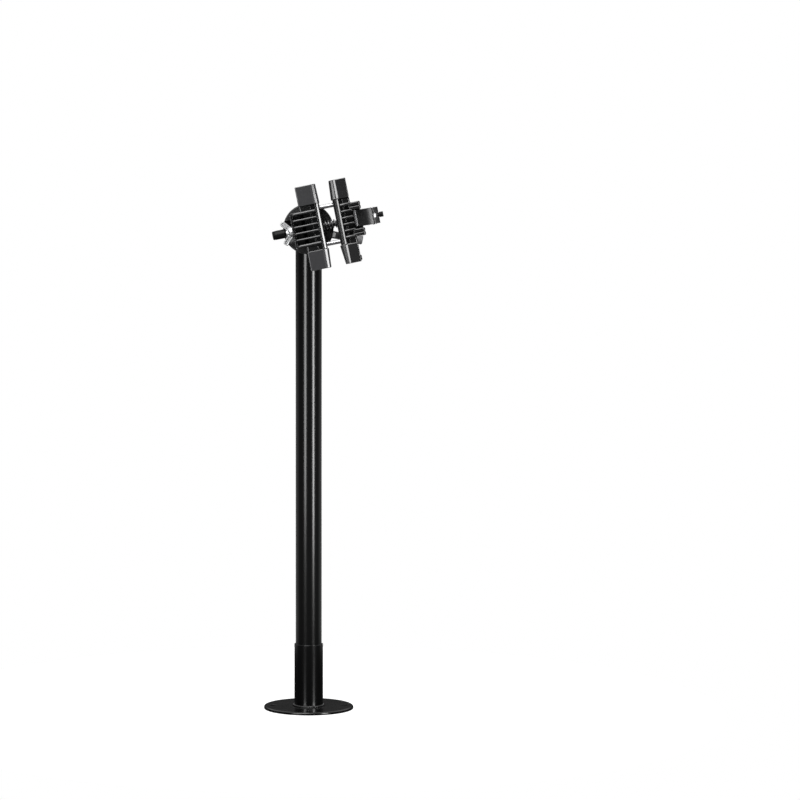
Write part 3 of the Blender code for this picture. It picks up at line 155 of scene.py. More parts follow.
def rounded(corners, steps=5):
    """An outline of (a, b, radius) corners, each rounded by its radius."""
    outline = []
    for i, (a, b, radius) in enumerate(corners):
        corner = Vector((a, b))
        if radius <= 0:
            outline.append((a, b))
            continue
        before = (Vector(corners[i - 1][:2]) - corner).normalized()
        after = (Vector(corners[(i + 1) % len(corners)][:2]) - corner).normalized()
        half = before.angle(after) / 2
        centre = corner + (before + after).normalized() * radius / sin(half)
        start = corner + before * radius / tan(half) - centre
        end = corner + after * radius / tan(half) - centre
        turn = atan2(start.x * end.y - start.y * end.x, start.dot(end))
        for step in range(steps + 1):
            part = turn * step / steps
            across = Vector((-start.y, start.x)) * sin(part)
            outline.append(tuple(centre + start * cos(part) + across))
    return outline


def lathe(profile, axis="w", steps=96, centre=(0, 0)):
    """(radius, level, fillet) corners spun about an axis; the fillet may be left out.

    A profile that starts and ends at radius 0 gives a solid, and any other is closed to a ring."""
    profile = rounded([(*corner, 0)[:3] for corner in profile])
    shape = bmesh.new()
    verts = [shape.verts.new((radius, 0, level)) for radius, level in profile]
    ends = list(zip(verts, verts[1:]))
    if profile[0][0] or profile[-1][0]:
        ends.append((verts[-1], verts[0]))
    edges = [shape.edges.new(pair) for pair in ends]
    bmesh.ops.spin(
        shape, geom=verts + edges, cent=(0, 0, 0), axis=(0, 0, 1), angle=tau, steps=steps,
        use_merge=True,
    )
    for vert in shape.verts:
        across = (vert.co.x + centre[0], vert.co.y + centre[1], vert.co.z)
        vert.co = lay([across], axis)[0]
    return merged(shape)


def ring(inner, outer, low, high, fillet=0, axis="w", steps=96):
    """A ring with rounded outer edges, which is solid if inner is 0."""
    profile = [(inner, low), (outer, low, fillet), (outer, high, fillet), (inner, high)]
    return lathe(profile, axis, steps)


def bar(radius, low, high, axis="w", steps=48):
    return ring(0, radius, low, high, 0, axis, steps)


def extrude(outline, low, high, axis="w"):
    """An outline pushed along an axis: (u, v) for w, (u, w) for v and (v, w) for u."""
    shape = bmesh.new()
    places = lay([(a, b, low) for a, b in outline], axis)
    face = shape.faces.new([shape.verts.new(place) for place in places])
    grown = bmesh.ops.extrude_face_region(shape, geom=[face])
    far = [item for item in grown["geom"] if isinstance(item, bmesh.types.BMVert)]
    bmesh.ops.translate(shape, verts=far, vec=lay([(0, 0, high - low)], axis)[0])
    return merged(shape)


def soften(shape, width, segments, angle=34.0):
    """Rounds every edge that turns by more than the angle."""
    limit = radians(angle)
    sharp = [edge for edge in shape.edges if edge.is_manifold and edge.calc_face_angle(0) > limit]
    bmesh.ops.bevel(
        shape, geom=sharp, offset=width, segments=segments, profile=0.5, affect="EDGES",
        clamp_overlap=True,
    )
    return shape


def block(low, high, edge, segments=2):
    """A rounded block from its lowest to its highest corner."""
    outline = [(low[0], low[1]), (high[0], low[1]), (high[0], high[1]), (low[0], high[1])]
    return soften(extrude(outline, low[2], high[2]), edge, segments)


def skin(rings, closed=False):
    """A shape over rings of places. Its ends are covered, or else the last ring meets the first."""
    shape = bmesh.new()
    rings = [[shape.verts.new(place) for place in one] for one in rings]
    first, last = rings[0], rings[-1]
    pairs = list(zip(rings, rings[1:]))
    if closed:
        shift = min(range(len(first)), key=lambda s: (last[0].co - first[s].co).length)
        pairs.append((last, first[shift:] + first[:shift]))
    for one, other in pairs:
        for j in range(len(one)):
            k = (j + 1) % len(one)
            shape.faces.new((one[j], one[k], other[k], other[j]))
    if not closed:
        shape.faces.new(first[::-1])
        shape.faces.new(last)
    return shape


def pillow(outline, middle, half, rounding, steps, axis="v"):
    """An outline pushed to half each side of the middle, with its rim rounded all the way.

    No corner of the outline may be tighter than the rounding, or the end faces cross over."""
    points = [Vector(point) for point in outline]
    area = sum(a.x * b.y - b.x * a.y for a, b in zip(points, points[1:] + points[:1]))
    turned = 1 if area > 0 else -1
    inward = []
    for i, point in enumerate(points):
        before = (point - points[i - 1]).normalized()
        after = (points[(i + 1) % len(points)] - point).normalized()
        sides = [Vector((-along.y, along.x)) * turned for along in (before, after)]
        across = (sides[0] + sides[1]).normalized()
        inward.append(across / max(0.5, across.dot(sides[0])))
    rim = []
    for i in range(steps + 1):
        turn = pi / 2 * i / steps
        rim.append((rounding * (1 - sin(turn)), half - rounding * (1 - cos(turn))))
    levels = [(inset, -level) for inset, level in rim] + rim[::-1]
    rings = []
    for inset, level in levels:
        places = [point + across * inset for point, across in zip(points, inward)]
        rings.append(lay([(place.x, place.y, middle + level) for place in places], axis))
    return merged(skin(rings))


def swept(path, radius, sides=12, closed=False):
    """A round tube along a path. radius is a number, or a list with one number for each point."""
    count = len(path)
    points = [Vector(place) for place in path]
    radii = radius if isinstance(radius, list) else [radius] * count
    rings = []
    normal = None
    for i, point in enumerate(points):
        before = points[i - 1] if (i or closed) else points[0]
        after = points[(i + 1) % count] if (i < count - 1 or closed) else points[-1]
        along = (after - before).normalized()
        if normal is None:
            normal = along.orthogonal().normalized()
        normal = (normal - along * normal.dot(along)).normalized()
        side = along.cross(normal)
        rings.append([
            point + (normal * cos(turn) + side * sin(turn)) * radii[i]
            for turn in around(sides)
        ])
    return facing_out(skin(rings, closed))


def weld_bead(path, radius, ripple=2.3, depth=0.18):
    """A closed weld bead whose ripples follow each other every few millimetres."""
    patch = 0.21
    unevenness = 0.12
    points = [Vector(place) for place in path]
    run = 0.0
    radii = []
    for i, point in enumerate(points):
        run += (point - points[i - 1]).length if i else 0.0
        phase = (run / ripple) % 1.0
        wander = noise.noise(point * patch) * unevenness
        radii.append(radius * (1.0 - depth * (1.0 - phase) ** 2 + wander))
    return swept(path, radii, 14, True)


def thread(radius, pitch, low, high, axis, depth, steps):
    """A bar whose surface rises and falls along a helix, and which runs out at its ends."""
    rings_per_turn = 6
    flank = 1.25
    count = int((high - low) / pitch * rings_per_turn)
    rings = []
    for i in range(count + 1):
        level = low + (high - low) * i / count
        lead = min(1.0, (level - low) / pitch, (high - level) / pitch)
        places = []
        for j, turn in enumerate(around(steps)):
            crest = abs((level / pitch - j / steps) % 1.0 * 2 - 1)
            reach = radius - depth * (min(1.0, crest * flank) * lead + (1 - lead))
            places.append((reach * cos(turn), reach * sin(turn), level))
        rings.append(lay(places, axis))
    return facing_out(skin(rings))


def mesh_of(shape, name):
    data = bpy.data.meshes.new(name)
    shape.to_mesh(data)
    shape.free()
    return data


def shown(name, data):
    """A thing in the scene that shows the data."""
    thing = bpy.data.objects.new(name, data)
    bpy.context.scene.collection.objects.link(thing)
    return thing


def together(*shapes):
    """Several closed shapes as one piece."""
    whole = bmesh.new()
    for shape in shapes:
        data = mesh_of(shape, "shape")
        whole.from_mesh(data)
        bpy.data.meshes.remove(data)
    return whole


def carved(shape, *cutters, operation="DIFFERENCE"):
    """A shape with each cutter in turn taken out of it, or joined to or crossed with it.

    Removing the mesh of a thing also removes the thing."""
    for cutter in cutters:
        things = [shown("carving", mesh_of(item, "carving")) for item in (shape, cutter)]
        change = things[0].modifiers.new("carve", "BOOLEAN")
        change.operation = operation
        change.solver = "EXACT"
        change.object = things[1]
        depsgraph = bpy.context.evaluated_depsgraph_get()
        result = bpy.data.meshes.new_from_object(things[0].evaluated_get(depsgraph))
        shape = bmesh.new()
        shape.from_mesh(result)
        bpy.data.meshes.remove(result)
        for thing in things:
            bpy.data.meshes.remove(thing.data)
    return shape


def moved(shape, vec):
    bmesh.ops.translate(shape, verts=shape.verts, vec=vec)
    return shape


# Places of the drawings in the room, which also turn millimetres into metres

MM = Matrix.Scale(0.001, 4)


def head_place(turn=0.0):
    tilt = radians(CLAMP_TILT)
    axes = Matrix((
        (cos(tilt), -sin(tilt), 0, 0),
        (0, 0, -1, 0),
        (sin(tilt), cos(tilt), 0, 0),
        (0, 0, 0, 1),
    ))
    up = Matrix.Translation((0, 0, HEAD_HEIGHT))
    return MM @ up @ axes @ Matrix.Rotation(radians(turn), 4, "Z")


STAND = MM
HEAD = head_place()
LOCK = head_place(LOCK_TURN)
ROD = HEAD @ Matrix.Translation((0, 0, ROD_LEVEL))
CAM = HEAD @ Matrix.Translation((CAM_PIVOT, 0, ROD_LEVEL))

# Where each body's pieces are drawn, unless they say otherwise
PLACES = {
    "stand": STAND, "head": HEAD, "slider": HEAD, "lock": LOCK, "rod": ROD, "wing": ROD, "cam": CAM,
}


def piece(name, shape, look, body, stands_for=None, place=None, sharp=36.0):
    """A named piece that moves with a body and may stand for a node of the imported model."""
    surface, slot = look
    bmesh.ops.transform(shape, matrix=place or PLACES[body], verts=shape.verts)
    data = mesh_of(shape, name)
    data.materials.append(surface)
    data.shade_smooth()
    data.set_sharp_from_angle(angle=radians(sharp))
    thing = shown(name, data)
    even = thing.modifiers.new("even shading", "WEIGHTED_NORMAL")
    even.keep_sharp = True
    even.weight = 80
    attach(thing, body)
    if stands_for:
        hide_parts(stands_for)
    return thing


# Shader helpers, and the groups that the finishes share

def feed(node, values):
    """Puts each value on the node's input of that name or number; an output is linked to it."""
    for label, value in values.items():
        if isinstance(value, bpy.types.NodeSocket):
            node.id_data.links.new(value, node.inputs[label])
        else:
            node.inputs[label].default_value = value
    return node


def add(tree, kind, values=None, **settings):
    """A node with its settings and its inputs fed, next in rows of eight."""
    row, column = divmod(len(tree.nodes), 8)
    made = tree.nodes.new(kind)
    made.location = (240 * column, -360 * row)
    for key, value in settings.items():
        setattr(made, key, value)
    return feed(made, values or {})


def maths(tree, operation, *values, clamp=False):
    """A calculation with numbers and sockets."""
    values = dict(enumerate(values))
    return add(tree, "ShaderNodeMath", values, operation=operation, use_clamp=clamp).outputs[0]


def between(tree, value, low, high):
    """0 up to low, 1 from high on, and even in between."""
    values = {"Value": value, "From Min": low, "From Max": high}
    return add(tree, "ShaderNodeMapRange", values).outputs[0]


def field(tree, **values):
    """Noise over a piece's own coordinates."""
    place = add(tree, "ShaderNodeTexCoord").outputs["Object"]
    return add(tree, "ShaderNodeTexNoise", {"Vector": place, **values}).outputs[0]


def new_group(name, inputs, outputs):
    """An empty node group, the sockets that its inputs come from, and the node that it ends in."""
    group = bpy.data.node_groups.new(name, "ShaderNodeTree")
    for way, labels in (("INPUT", inputs), ("OUTPUT", outputs)):
        for label in labels:
            group.interface.new_socket(label, in_out=way, socket_type="NodeSocketFloat")
    return group, add(group, "NodeGroupInput").outputs, add(group, "NodeGroupOutput")


def grain_group():
    """Fine grain of paint, rubber and castings; Size is the width of one grain in metres."""
    group, given, made = new_group("surface grain", ["Size", "Roughness"], ["Height"])
    scale = maths(group, "DIVIDE", 1.0, given["Size"])
    grains = field(group, Scale=scale, Detail=3.0, Roughness=given["Roughness"])
    feed(made, {"Height": grains})
    return group


def wear_group():
    """Rubbed edges: 1 where a corner is sharp and the rubbing has reached it."""
    group, given, made = new_group("rubbed edges", ["Amount"], ["Mask"])
    round_off = add(group, "ShaderNodeBevel", {"Radius": 0.0006}, samples=4).outputs[0]
    flat = add(group, "ShaderNodeNewGeometry").outputs["Normal"]
    dot = add(group, "ShaderNodeVectorMath", {0: round_off, 1: flat}, operation="DOT_PRODUCT")
    edge = maths(group, "SUBTRACT", 1.0, dot.outputs["Value"])
    rubbed = maths(group, "MULTIPLY", edge, 5.0, clamp=True)
    patches = field(group, Scale=60.0, Detail=5.0, Roughness=0.65)
    both = maths(group, "MULTIPLY", rubbed, between(group, patches, 0.48, 0.66))
    feed(made, {"Mask": maths(group, "MULTIPLY", both, given["Amount"])})
    return group


def dust_group():
    """Dust that lies on faces looking up, and thin smears over all of them."""
    group, given, made = new_group("dust and smears", ["Dust"], ["Dust", "Smears"])
    normal = add(group, "ShaderNodeNewGeometry").outputs["Normal"]
    split = add(group, "ShaderNodeSeparateXYZ", {0: normal})
    up = between(group, split.outputs["Z"], 0.35, 1.0)
    specks = field(group, Scale=1400.0, Detail=2.0)
    lying = maths(group, "MULTIPLY", up, between(group, specks, 0.5, 0.75))
    dust = maths(group, "MULTIPLY", lying, given["Dust"])
    smears = field(group, Scale=34.0, Detail=6.0, Roughness=0.62, Distortion=0.6)
    feed(made, {"Dust": dust, "Smears": smears})
    return group


GRAIN = grain_group()
WEAR = wear_group()
DUST = dust_group()


def use_group(tree, group, **values):
    return add(tree, "ShaderNodeGroup", values, node_tree=group).outputs


def mixed(tree, factor, first, second):
    """A blend of two colours, each a colour with its alpha or a socket."""
    values = {0: factor, 6: first, 7: second}
    return add(tree, "ShaderNodeMix", values, data_type="RGBA").outputs[2]


# Finishes

DUST_ROUGHNESS = 0.4
WORN_PLASTIC = (0.05, 0.05, 0.052)


def finish(name, slot, colour, roughness, grain, depth, wear, dust, metallic=0.0,
           specular=0.5, contrast=0.5, spread=0.16, worn=(0.16, 0.16, 0.165),
           dusty=(0.30, 0.29, 0.27)):
    """A surface with grain, rubbed edges, dust and smears, and the slot that it belongs to.

    grain is the grain's width in millimetres, depth its depth in micrometres and contrast its
    own roughness. wear and dust say how much shows of the colours worn (which may be a grey) and
    dusty. Smears change the roughness by the spread."""
    worn = (worn,) * 3 if isinstance(worn, float) else worn
    surface = bpy.data.materials.new(name)
    surface.use_nodes = True
    surface.diffuse_color = (*colour, 1.0)
    tree = surface.node_tree
    grains = use_group(tree, GRAIN, Size=grain / 1000, Roughness=contrast)
    rubbed = use_group(tree, WEAR, Amount=wear)
    dirt = use_group(tree, DUST, Dust=dust)
    base = mixed(tree, rubbed["Mask"], (*colour, 1.0), (*worn, 1.0))
    smeared = maths(tree, "MULTIPLY", dirt["Smears"], spread)
    rough = maths(tree, "ADD", smeared, roughness - spread / 2)
    dull = maths(tree, "MULTIPLY", dirt["Dust"], DUST_ROUGHNESS)
    bump = {"Distance": depth / 1e6, "Strength": 1.0, "Height": grains["Height"]}
    feed(tree.nodes["Principled BSDF"], {
        "Metallic": metallic,
        "Specular IOR Level": specular,
        "Base Color": mixed(tree, dirt["Dust"], base, (*dusty, 1.0)),
        "Roughness": maths(tree, "ADD", rough, dull, clamp=True),
        "Normal": add(tree, "ShaderNodeBump", bump).outputs[0],
    })
    return surface, slot


POWDER = finish(
    "black powder coat", "black_paint", (0.0018, 0.0018, 0.0019), 0.19, grain=1.3, depth=5,
    wear=0.35, dust=0.05, dusty=(0.12, 0.12, 0.115), spread=0.05)
WELD_PAINT = finish(
    "painted weld", "painted_weld", (0.004, 0.004, 0.0042), 0.2, grain=0.6, depth=10,
    wear=0.25, dust=0.08, spread=0.08)
CASTING = finish(
    "black casting", "casting", (0.003, 0.003, 0.0032), 0.34, grain=0.5, depth=30, contrast=0.7,
    wear=0.4, worn=(0.14, 0.14, 0.145), dust=0.12)
MOULDING = finish(
    "black moulding", "jaw_moulding", (0.0035, 0.0035, 0.0037), 0.19, specular=0.8, grain=0.35,
    depth=3, wear=0.25, worn=WORN_PLASTIC, dust=0.08, spread=0.08)
SATIN = finish(
    "satin moulding", "jaw_moulding", (0.003, 0.003, 0.0032), 0.30, specular=0.55, grain=0.35,
    depth=3, wear=0.25, worn=WORN_PLASTIC, dust=0.08, spread=0.08)
GLOSS = finish(
    "gloss moulding", "liner", (0.003, 0.003, 0.0033), 0.15, specular=1.0, grain=0.5, depth=2,
    wear=0.2, worn=WORN_PLASTIC, dust=0.05, spread=0.05)
FIXED_RUBBER, MOVING_RUBBER = [
    finish(name, "pad_rubber", colour, 0.18, specular=specular, grain=0.28, depth=3,
           contrast=0.7, wear=0.5, worn=(0.07, 0.07, 0.072), dust=0.12, spread=0.08)
    for name, colour, specular in (
        ("grey-black rubber", (0.030, 0.030, 0.0315), 0.8),
        ("black rubber", (0.010, 0.010, 0.0105), 1.0),
    )
]
VINYL = finish(
    "black vinyl", "cap_vinyl", (0.004, 0.004, 0.0043), 0.30, specular=0.11, grain=0.8,
    depth=10, wear=0.15, worn=0.05, dust=0.12)
SLEEVE = finish(
    "grip sleeve", "grip_sleeve", (0.12, 0.12, 0.122), 0.42, grain=0.6, depth=30, wear=0.2,
    worn=0.22, dust=0.12)
ZINC = finish(
    "bright zinc", "zinc", (0.60, 0.605, 0.61), 0.34, metallic=1.0, grain=1.1, depth=30,
    wear=0.3, worn=0.8, dust=0.12)
CHROME = finish(
    "polished steel", "zinc", (0.60, 0.60, 0.61), 0.34, metallic=1.0, grain=0.5, depth=6,
    wear=0.2, worn=0.7, dust=0.06, spread=0.08)
STEEL = finish(
    "plain steel", "steel", (0.46, 0.46, 0.47), 0.3, metallic=1.0, grain=0.5, depth=12,
    wear=0.3, worn=0.6, dust=0.1)
PLATE_STEEL = finish(
    "satin steel plate", "steel", (0.22, 0.22, 0.225), 0.45, metallic=1.0, grain=0.5, depth=6,
    wear=0.2, worn=0.4, dust=0.08)
BLACK_STEEL = finish(
    "blacked steel", "black_steel", (0.010, 0.010, 0.011), 0.34, metallic=0.4, grain=0.4,
    depth=10, wear=0.6, worn=0.3, dust=0.12)
BLACK_NUT = finish(
    "black plated nut", "black_steel", (0.003, 0.003, 0.0032), 0.40, specular=0.12, grain=0.4,
    depth=10, wear=0.3, worn=0.06, dust=0.08)
NYLON = finish(
    "pale nylon", "nylon", (0.56, 0.55, 0.51), 0.42, grain=0.6, depth=10, wear=0.0, dust=0.2)
FIBRE = finish(
    "brown fibre", "fibre", (0.16, 0.10, 0.06), 0.78, grain=0.7, depth=80, contrast=0.8,
    wear=0.2, worn=(0.25, 0.18, 0.12), dust=0.2)


# Flange, socket and post

def weld_piece(name, bead, stands_for=None, place=STAND):
    piece(name, bead, WELD_PAINT, "stand", stands_for, place, sharp=80)


def base_plate():
    """The flange. The edges of its bolt holes are broken."""
    top = PLATE_THICKNESS
    plate = lathe([(0, 0), (PLATE_RADIUS, 0, 0.5), (PLATE_RADIUS, top, 2.0), (0, top)], steps=192)
    bevel = 0.4
    wide = BOLT_HOLE + bevel
    for turn in around(BOLTS):
        hole = lathe([
            (0, -1), (wide, -1), (wide, 0), (BOLT_HOLE, bevel),
            (BOLT_HOLE, top - bevel), (wide, top), (wide, top + 1), (0, top + 1),
        ], steps=48, centre=(BOLT_CIRCLE * cos(turn), BOLT_CIRCLE * sin(turn)))
        plate = carved(plate, hole)
    piece("flange_plate", plate, POWDER, "stand", "base_plate")


def foot_weld():
    bead = weld_bead(circle(21.7, FOOT + 0.3, 260), 1.8, 2.7, 0.24)
    for vert in bead.verts:
        vert.co.z = max(vert.co.z, PLATE_THICKNESS + 0.05)
    weld_piece("foot_weld_bead", bead, "foot_weld")


def base_socket():
    """The socket, with two screw bosses behind. Each has its weld and its cap screw."""
    tube = lathe([
        (SOCKET_BORE, FOOT), (SOCKET_RADIUS, FOOT), (SOCKET_RADIUS, SOCKET_TOP, 0.6),
        (SOCKET_BORE, SOCKET_TOP, 0.5),
    ], steps=128)
    face = BOSS_FACE
    for level in SOCKET_SCREW_LEVELS.values():
        boss = lathe([(0, 15), (7.5, 15), (7.5, face, 0.8), (0, face)], "v", 64, (0, level))
        tube = carved(tube, boss, operation="UNION")
    tube = carved(tube, bar(SOCKET_BORE, 0, 200, "w", 128))
    hole = [(0, 0), (4.3, 0), (4.3, face - 0.7), (5, face), (5, 40), (0, 40)]
    for level in SOCKET_SCREW_LEVELS.values():
        tube = carved(tube, lathe(hole, "v", 48, (0, level)))
    piece("socket_tube", tube, POWDER, "stand", "base_socket")
    for where, level in SOCKET_SCREW_LEVELS.items():
        path = []
        for x, z, _ in circle(8.3, 0, 110):
            path.append((x, sqrt(SOCKET_RADIUS ** 2 - x * x) + 0.1, level + z))
        weld_piece(f"boss_weld_{where}", weld_bead(path, 1.3, 1.9))
        screw = lathe([
            (0, 19.3), (4, 19.3), (4, 27.2), (6.5, 27.2, 0.2), (6.5, 33.2, 0.6), (0, 33.2),
        ], "v", 64)
        screw = carved(
            screw,
            extrude(hexagon(3.4, 0.5), 29.7, 40, "v"),
            lathe([(0, 32.6), (3.2, 32.6), (4, 33.4), (0, 33.4)], "v", 32),
        )
        moved(screw, (0, 0, level))
        piece(f"cap_screw_{where}", screw, BLACK_STEEL, "stand", f"socket_screw_{where}")


def post():
    """The post, coped to the barrel, and the weld that follows the cope."""
    tube = ring(POST_RADIUS - POST_WALL, POST_RADIUS, FOOT, HEAD_HEIGHT, steps=160)
    cope = bar(BARREL_RADIUS + 0.3, -60, 60, "v", 128)
    tube = carved(tube, moved(cope, (0, 0, HEAD_HEIGHT)))
    piece("post_painted", tube, POWDER, "stand", "post_tube")
    path = []
    for x, y, _ in circle(POST_RADIUS + 0.6, 0, 240):
        path.append((x, y, HEAD_HEIGHT - sqrt((BARREL_RADIUS + 0.7) ** 2 - x * x)))
    weld_piece("post_weld_bead", weld_bead(path, 1.9))


# Barrel, discs and bushes

def head_mount():
    """What stays with the post: the barrel, its disc and weld, the lining and the two bushes."""
    barrel = lathe([
        (BARREL_BORE, BARREL_BACK, 0.6), (BARREL_RADIUS, BARREL_BACK, 1.0),
        (BARREL_RADIUS, BARREL_FRONT), (BARREL_BORE, BARREL_FRONT),
    ], steps=128)
    piece("barrel_tube", barrel, POWDER, "stand", "head_barrel", HEAD)
    disc = ring(BARREL_BORE, 32, 75.8, 80.8, 1.0, steps=160)
    piece("clutch_disc", disc, POWDER, "stand", "fixed_disc", HEAD)
    weld_piece("disc_weld_bead", weld_bead(circle(22.3, 74.8, 240), 1.8), place=HEAD)
    lining = ring(16, 30, 81.1, 83.1, 0.2, steps=128)
    piece("lining_ring", lining, FIBRE, "stand", "friction_lining", HEAD)
    front = ring(SPINDLE_BORE, 12.7, 57.5, BARREL_FRONT, 0.4, steps=64)
    piece("front_bush_ring", front, NYLON, "stand", "front_bush", HEAD)
    rear = lathe([
        (SPINDLE_BORE, -26.8), (17, -26.8, 0.4), (17, -25.3, 0.3), (12.7, -25.3), (12.7, -8.8),
        (SPINDLE_BORE, -8.8),
    ])
    piece("rear_bush_ring", rear, NYLON, "stand", "rear_bush", HEAD)


def hub():
    """The hub disc with the wing nut's pocket, the spindle with its fittings, and the screws."""
    disc = lathe([
        (SPINDLE_BORE, HUB_BACK), (35.5, HUB_BACK, 0.8), (35.5, HUB_FRONT, 1.8),
        (12.3, HUB_FRONT, 0.3), (12.3, HUB_SEAT), (SPINDLE_BORE, HUB_SEAT),
    ], steps=192)
    pocket = lathe([(0, -70), (20.2, -70), (20.2, -21.2, 1.5), (0, -21.2)], "u", 96, (0, ROD_LEVEL))
    disc = carved(disc, pocket)
    piece("hub_casting", disc, CASTING, "head", "hub_disc")
    shaft = lathe([
        (0, -46), (6, -46), (6, -28.1), (8, -28.1, 0.4), (8, 92.4), (12, 92.4, 0.3),
        (12, HUB_FRONT, 0.5), (0, HUB_FRONT),
    ], steps=64)
    shaft = carved(shaft, extrude(hexagon(5), 94.4, 120))
    tail = thread(6, 1.75, -55.7, -45, "w", 0.7, 48)
    piece("spindle_bolt", together(shaft, tail), STEEL, "head", "spindle")
    washer = lathe([
        (SPINDLE_BORE, -29.1, 0.2), (15, -29.1, 0.4), (15, -27.1, 0.4), (SPINDLE_BORE, -27.1, 0.2),
    ])
    piece("rear_washer", washer, STEEL, "head", "thrust_washer")
    nut = extrude(hexagon(9.5, 0.5), NUT_BACK, NUT_FRONT)
    dome = lathe([
        (0, NUT_BACK), (8.3, NUT_BACK), (9.6, NUT_BACK + 0.7), (9.6, NUT_FRONT - 0.7),
        (8.3, NUT_FRONT), (0, NUT_FRONT),
    ])
    nut = carved(nut, dome, operation="INTERSECT")
    nut = carved(nut, bar(6.1, -60, -40))
    insert = lathe([
        (6.1, NUT_BACK - 0.2), (7.7, NUT_BACK - 0.2, 0.3), (7.7, NUT_BACK + 0.7),
        (6.1, NUT_BACK + 0.7),
    ], steps=64)
    piece("lock_nut", nut, ZINC, "head", "stop_nut")
    piece("lock_nut_insert", insert, NYLON, "head")
    button = [
        (0, HUB_BACK), (5.5, HUB_BACK, 0.8), (5.5, 86.8, 0.2), (3, 86.8), (3, 109.2, 0.6),
        (0, 109.2),
    ]
    for row, (u, v) in JAW_SCREWS.items():
        for where, sign in ENDS:
            screw = carved(lathe(button, steps=48), extrude(hexagon(2.3), 80, 85.6))
            moved(screw, (u, sign * v, 0))
            piece(f"button_screw_{row}_{where}", screw, BLACK_STEEL, "head",
                  f"jaw_screw_{row}_{where}")


# Lever that locks the head

def lock_lever():
    """The lever's boss, its cranked arm and tang, and the ringed sleeve on the tang."""
    middle = (LOCK_FRONT + LOCK_BACK) / 2
    front = middle + 4.0
    back = middle - 4.0
    set_back = 9.5
    grip = (0, 0, middle - set_back)
    boss = ring(0, 13, LOCK_BACK, LOCK_FRONT, 2.0)
    arm = soften(extrude(rounded([
        (0, front, 0), (16, front, 6), (40, front - set_back, 6), (46.7, front - set_back, 0),
        (46.7, back - set_back, 0), (38, back - set_back, 6), (14, back, 6), (0, back, 0),
    ], 8), -5.5, 5.5, "v"), 2.4, 4)
    for vert in arm.verts:
        vert.co.y *= 1.16 - 0.0045 * vert.co.x
    lead_in = lathe([
        (0, LOCK_BACK - 1), (8.0, LOCK_BACK - 1), (6.0, LOCK_BACK + 1), (0, LOCK_BACK + 1),
    ], steps=64)
    body = carved(boss, arm, operation="UNION")
    body = carved(body, bar(6.15, -60, -20), lead_in)
    tang = moved(bar(3, 44, 71.7, "u"), grip)
    collar = moved(ring(0, 5.2, 44.5, 46.8, 0.6, "u", 64), grip)
    piece("lock_handle", together(body, tang, collar), CASTING, "lock", "lock_lever")
    sleeve = lathe([
        (0, 72.0), (3.3, 72.0), (3.3, 47.0), (5.6, 47.0, 0.8), (6.8, 51.0, 4), (6.8, 80.0, 2.6),
        (0, 80.0),
    ], "u", 96)
    rings_start, rings_end, rings_pitch, rings_depth = 53, 76, 2.3, 0.028
    for vert in sleeve.verts:
        run = vert.co.x
        across = Vector((vert.co.y, vert.co.z))
        if across.length > 6.5 and rings_start < run < rings_end:
            dip = 0.5 - 0.5 * cos((run - rings_start) / rings_pitch * tau)
            vert.co.y, vert.co.z = across * (1 - rings_depth * dip)
    moved(sleeve, grip)
    piece("lock_grip_sleeve", sleeve, SLEEVE, "lock", "lock_lever_grip")


# Jaws

class Jaw:
    """A jaw, drawn by distances behind its lip. side is 1 for the fixed jaw, -1 for the moving one.

    flare says how far a block's lip leans towards the tube, at the block's inner and outer end."""

    def __init__(self, name, body, side, lip, spine, pad_bevel, liner_front, rubber, flare):
        self.name = name
        self.body = body
        self.side = side
        self.lip = lip
        self.spine = spine
        self.pad_bevel = pad_bevel
        self.liner_front = liner_front
        self.rubber = rubber
        self.flare = flare

    def u(self, distance):
        return self.lip - self.side * distance

    def across(self, corners):
        return [(self.u(corner[0]), *corner[1:]) for corner in corners]

    def span(self, near, far):
        return sorted((self.u(near), self.u(far)))


FIXED = Jaw("fixed", "head", 1, FIXED_LIP, 29.0, 7.8, 6.6, FIXED_RUBBER,
            {"upper": (0.9, 0.0), "lower": (1.3, -0.3)})
MOVING = Jaw("moving", "slider", -1, MOVING_LIP, 23.5, 8.7, 8.0, MOVING_RUBBER,
             {"upper": (1.7, 0.0), "lower": (1.6, -1.6)})


def grip_face(width):
    """From the front: a sloping strip, a groove, a steeper strip, a round lip and the tube's V."""
    first_slope, second_slope = 0.29, 0.435
    front = JAW_FRONT
    groove = front - width * 0.28 * first_slope
    far_side = groove - 0.7
    return [
        (width, front, 0.5),
        (width * 0.72, groove, 0.12),
        (width * 0.68, groove - 0.9, 0.15),
        (width * 0.60, far_side, 0.15),
        (width * 0.30, far_side - width * 0.30 * second_slope, 0.3),
        (0, far_side - width * 0.60 * second_slope - 0.5, 3.0),
        (0, front - 7.0, 0),
        (8.8, front - 17.9, 1.2),
        (8.8, front - 21.1, 1.2),
        (0, front - 32.0, 0),
        (0, GROOVE_FOOT, 0.8),
    ]


def jaw_liner(jaw):
    outline = jaw.across([
        *grip_face(jaw.liner_front),
        (12.3, GROOVE_FOOT, 0.4),
        (12.3, JAW_FRONT - 7, 0),
        (jaw.liner_front, JAW_FRONT - 7, 0),
    ])
    strip = pillow(rounded(outline, 6), 0, CORE_HALF, 0.35, 3)
    piece(f"{jaw.name}_grip_strip", strip, GLOSS, jaw.body, f"{jaw.name}_jaw_liner")


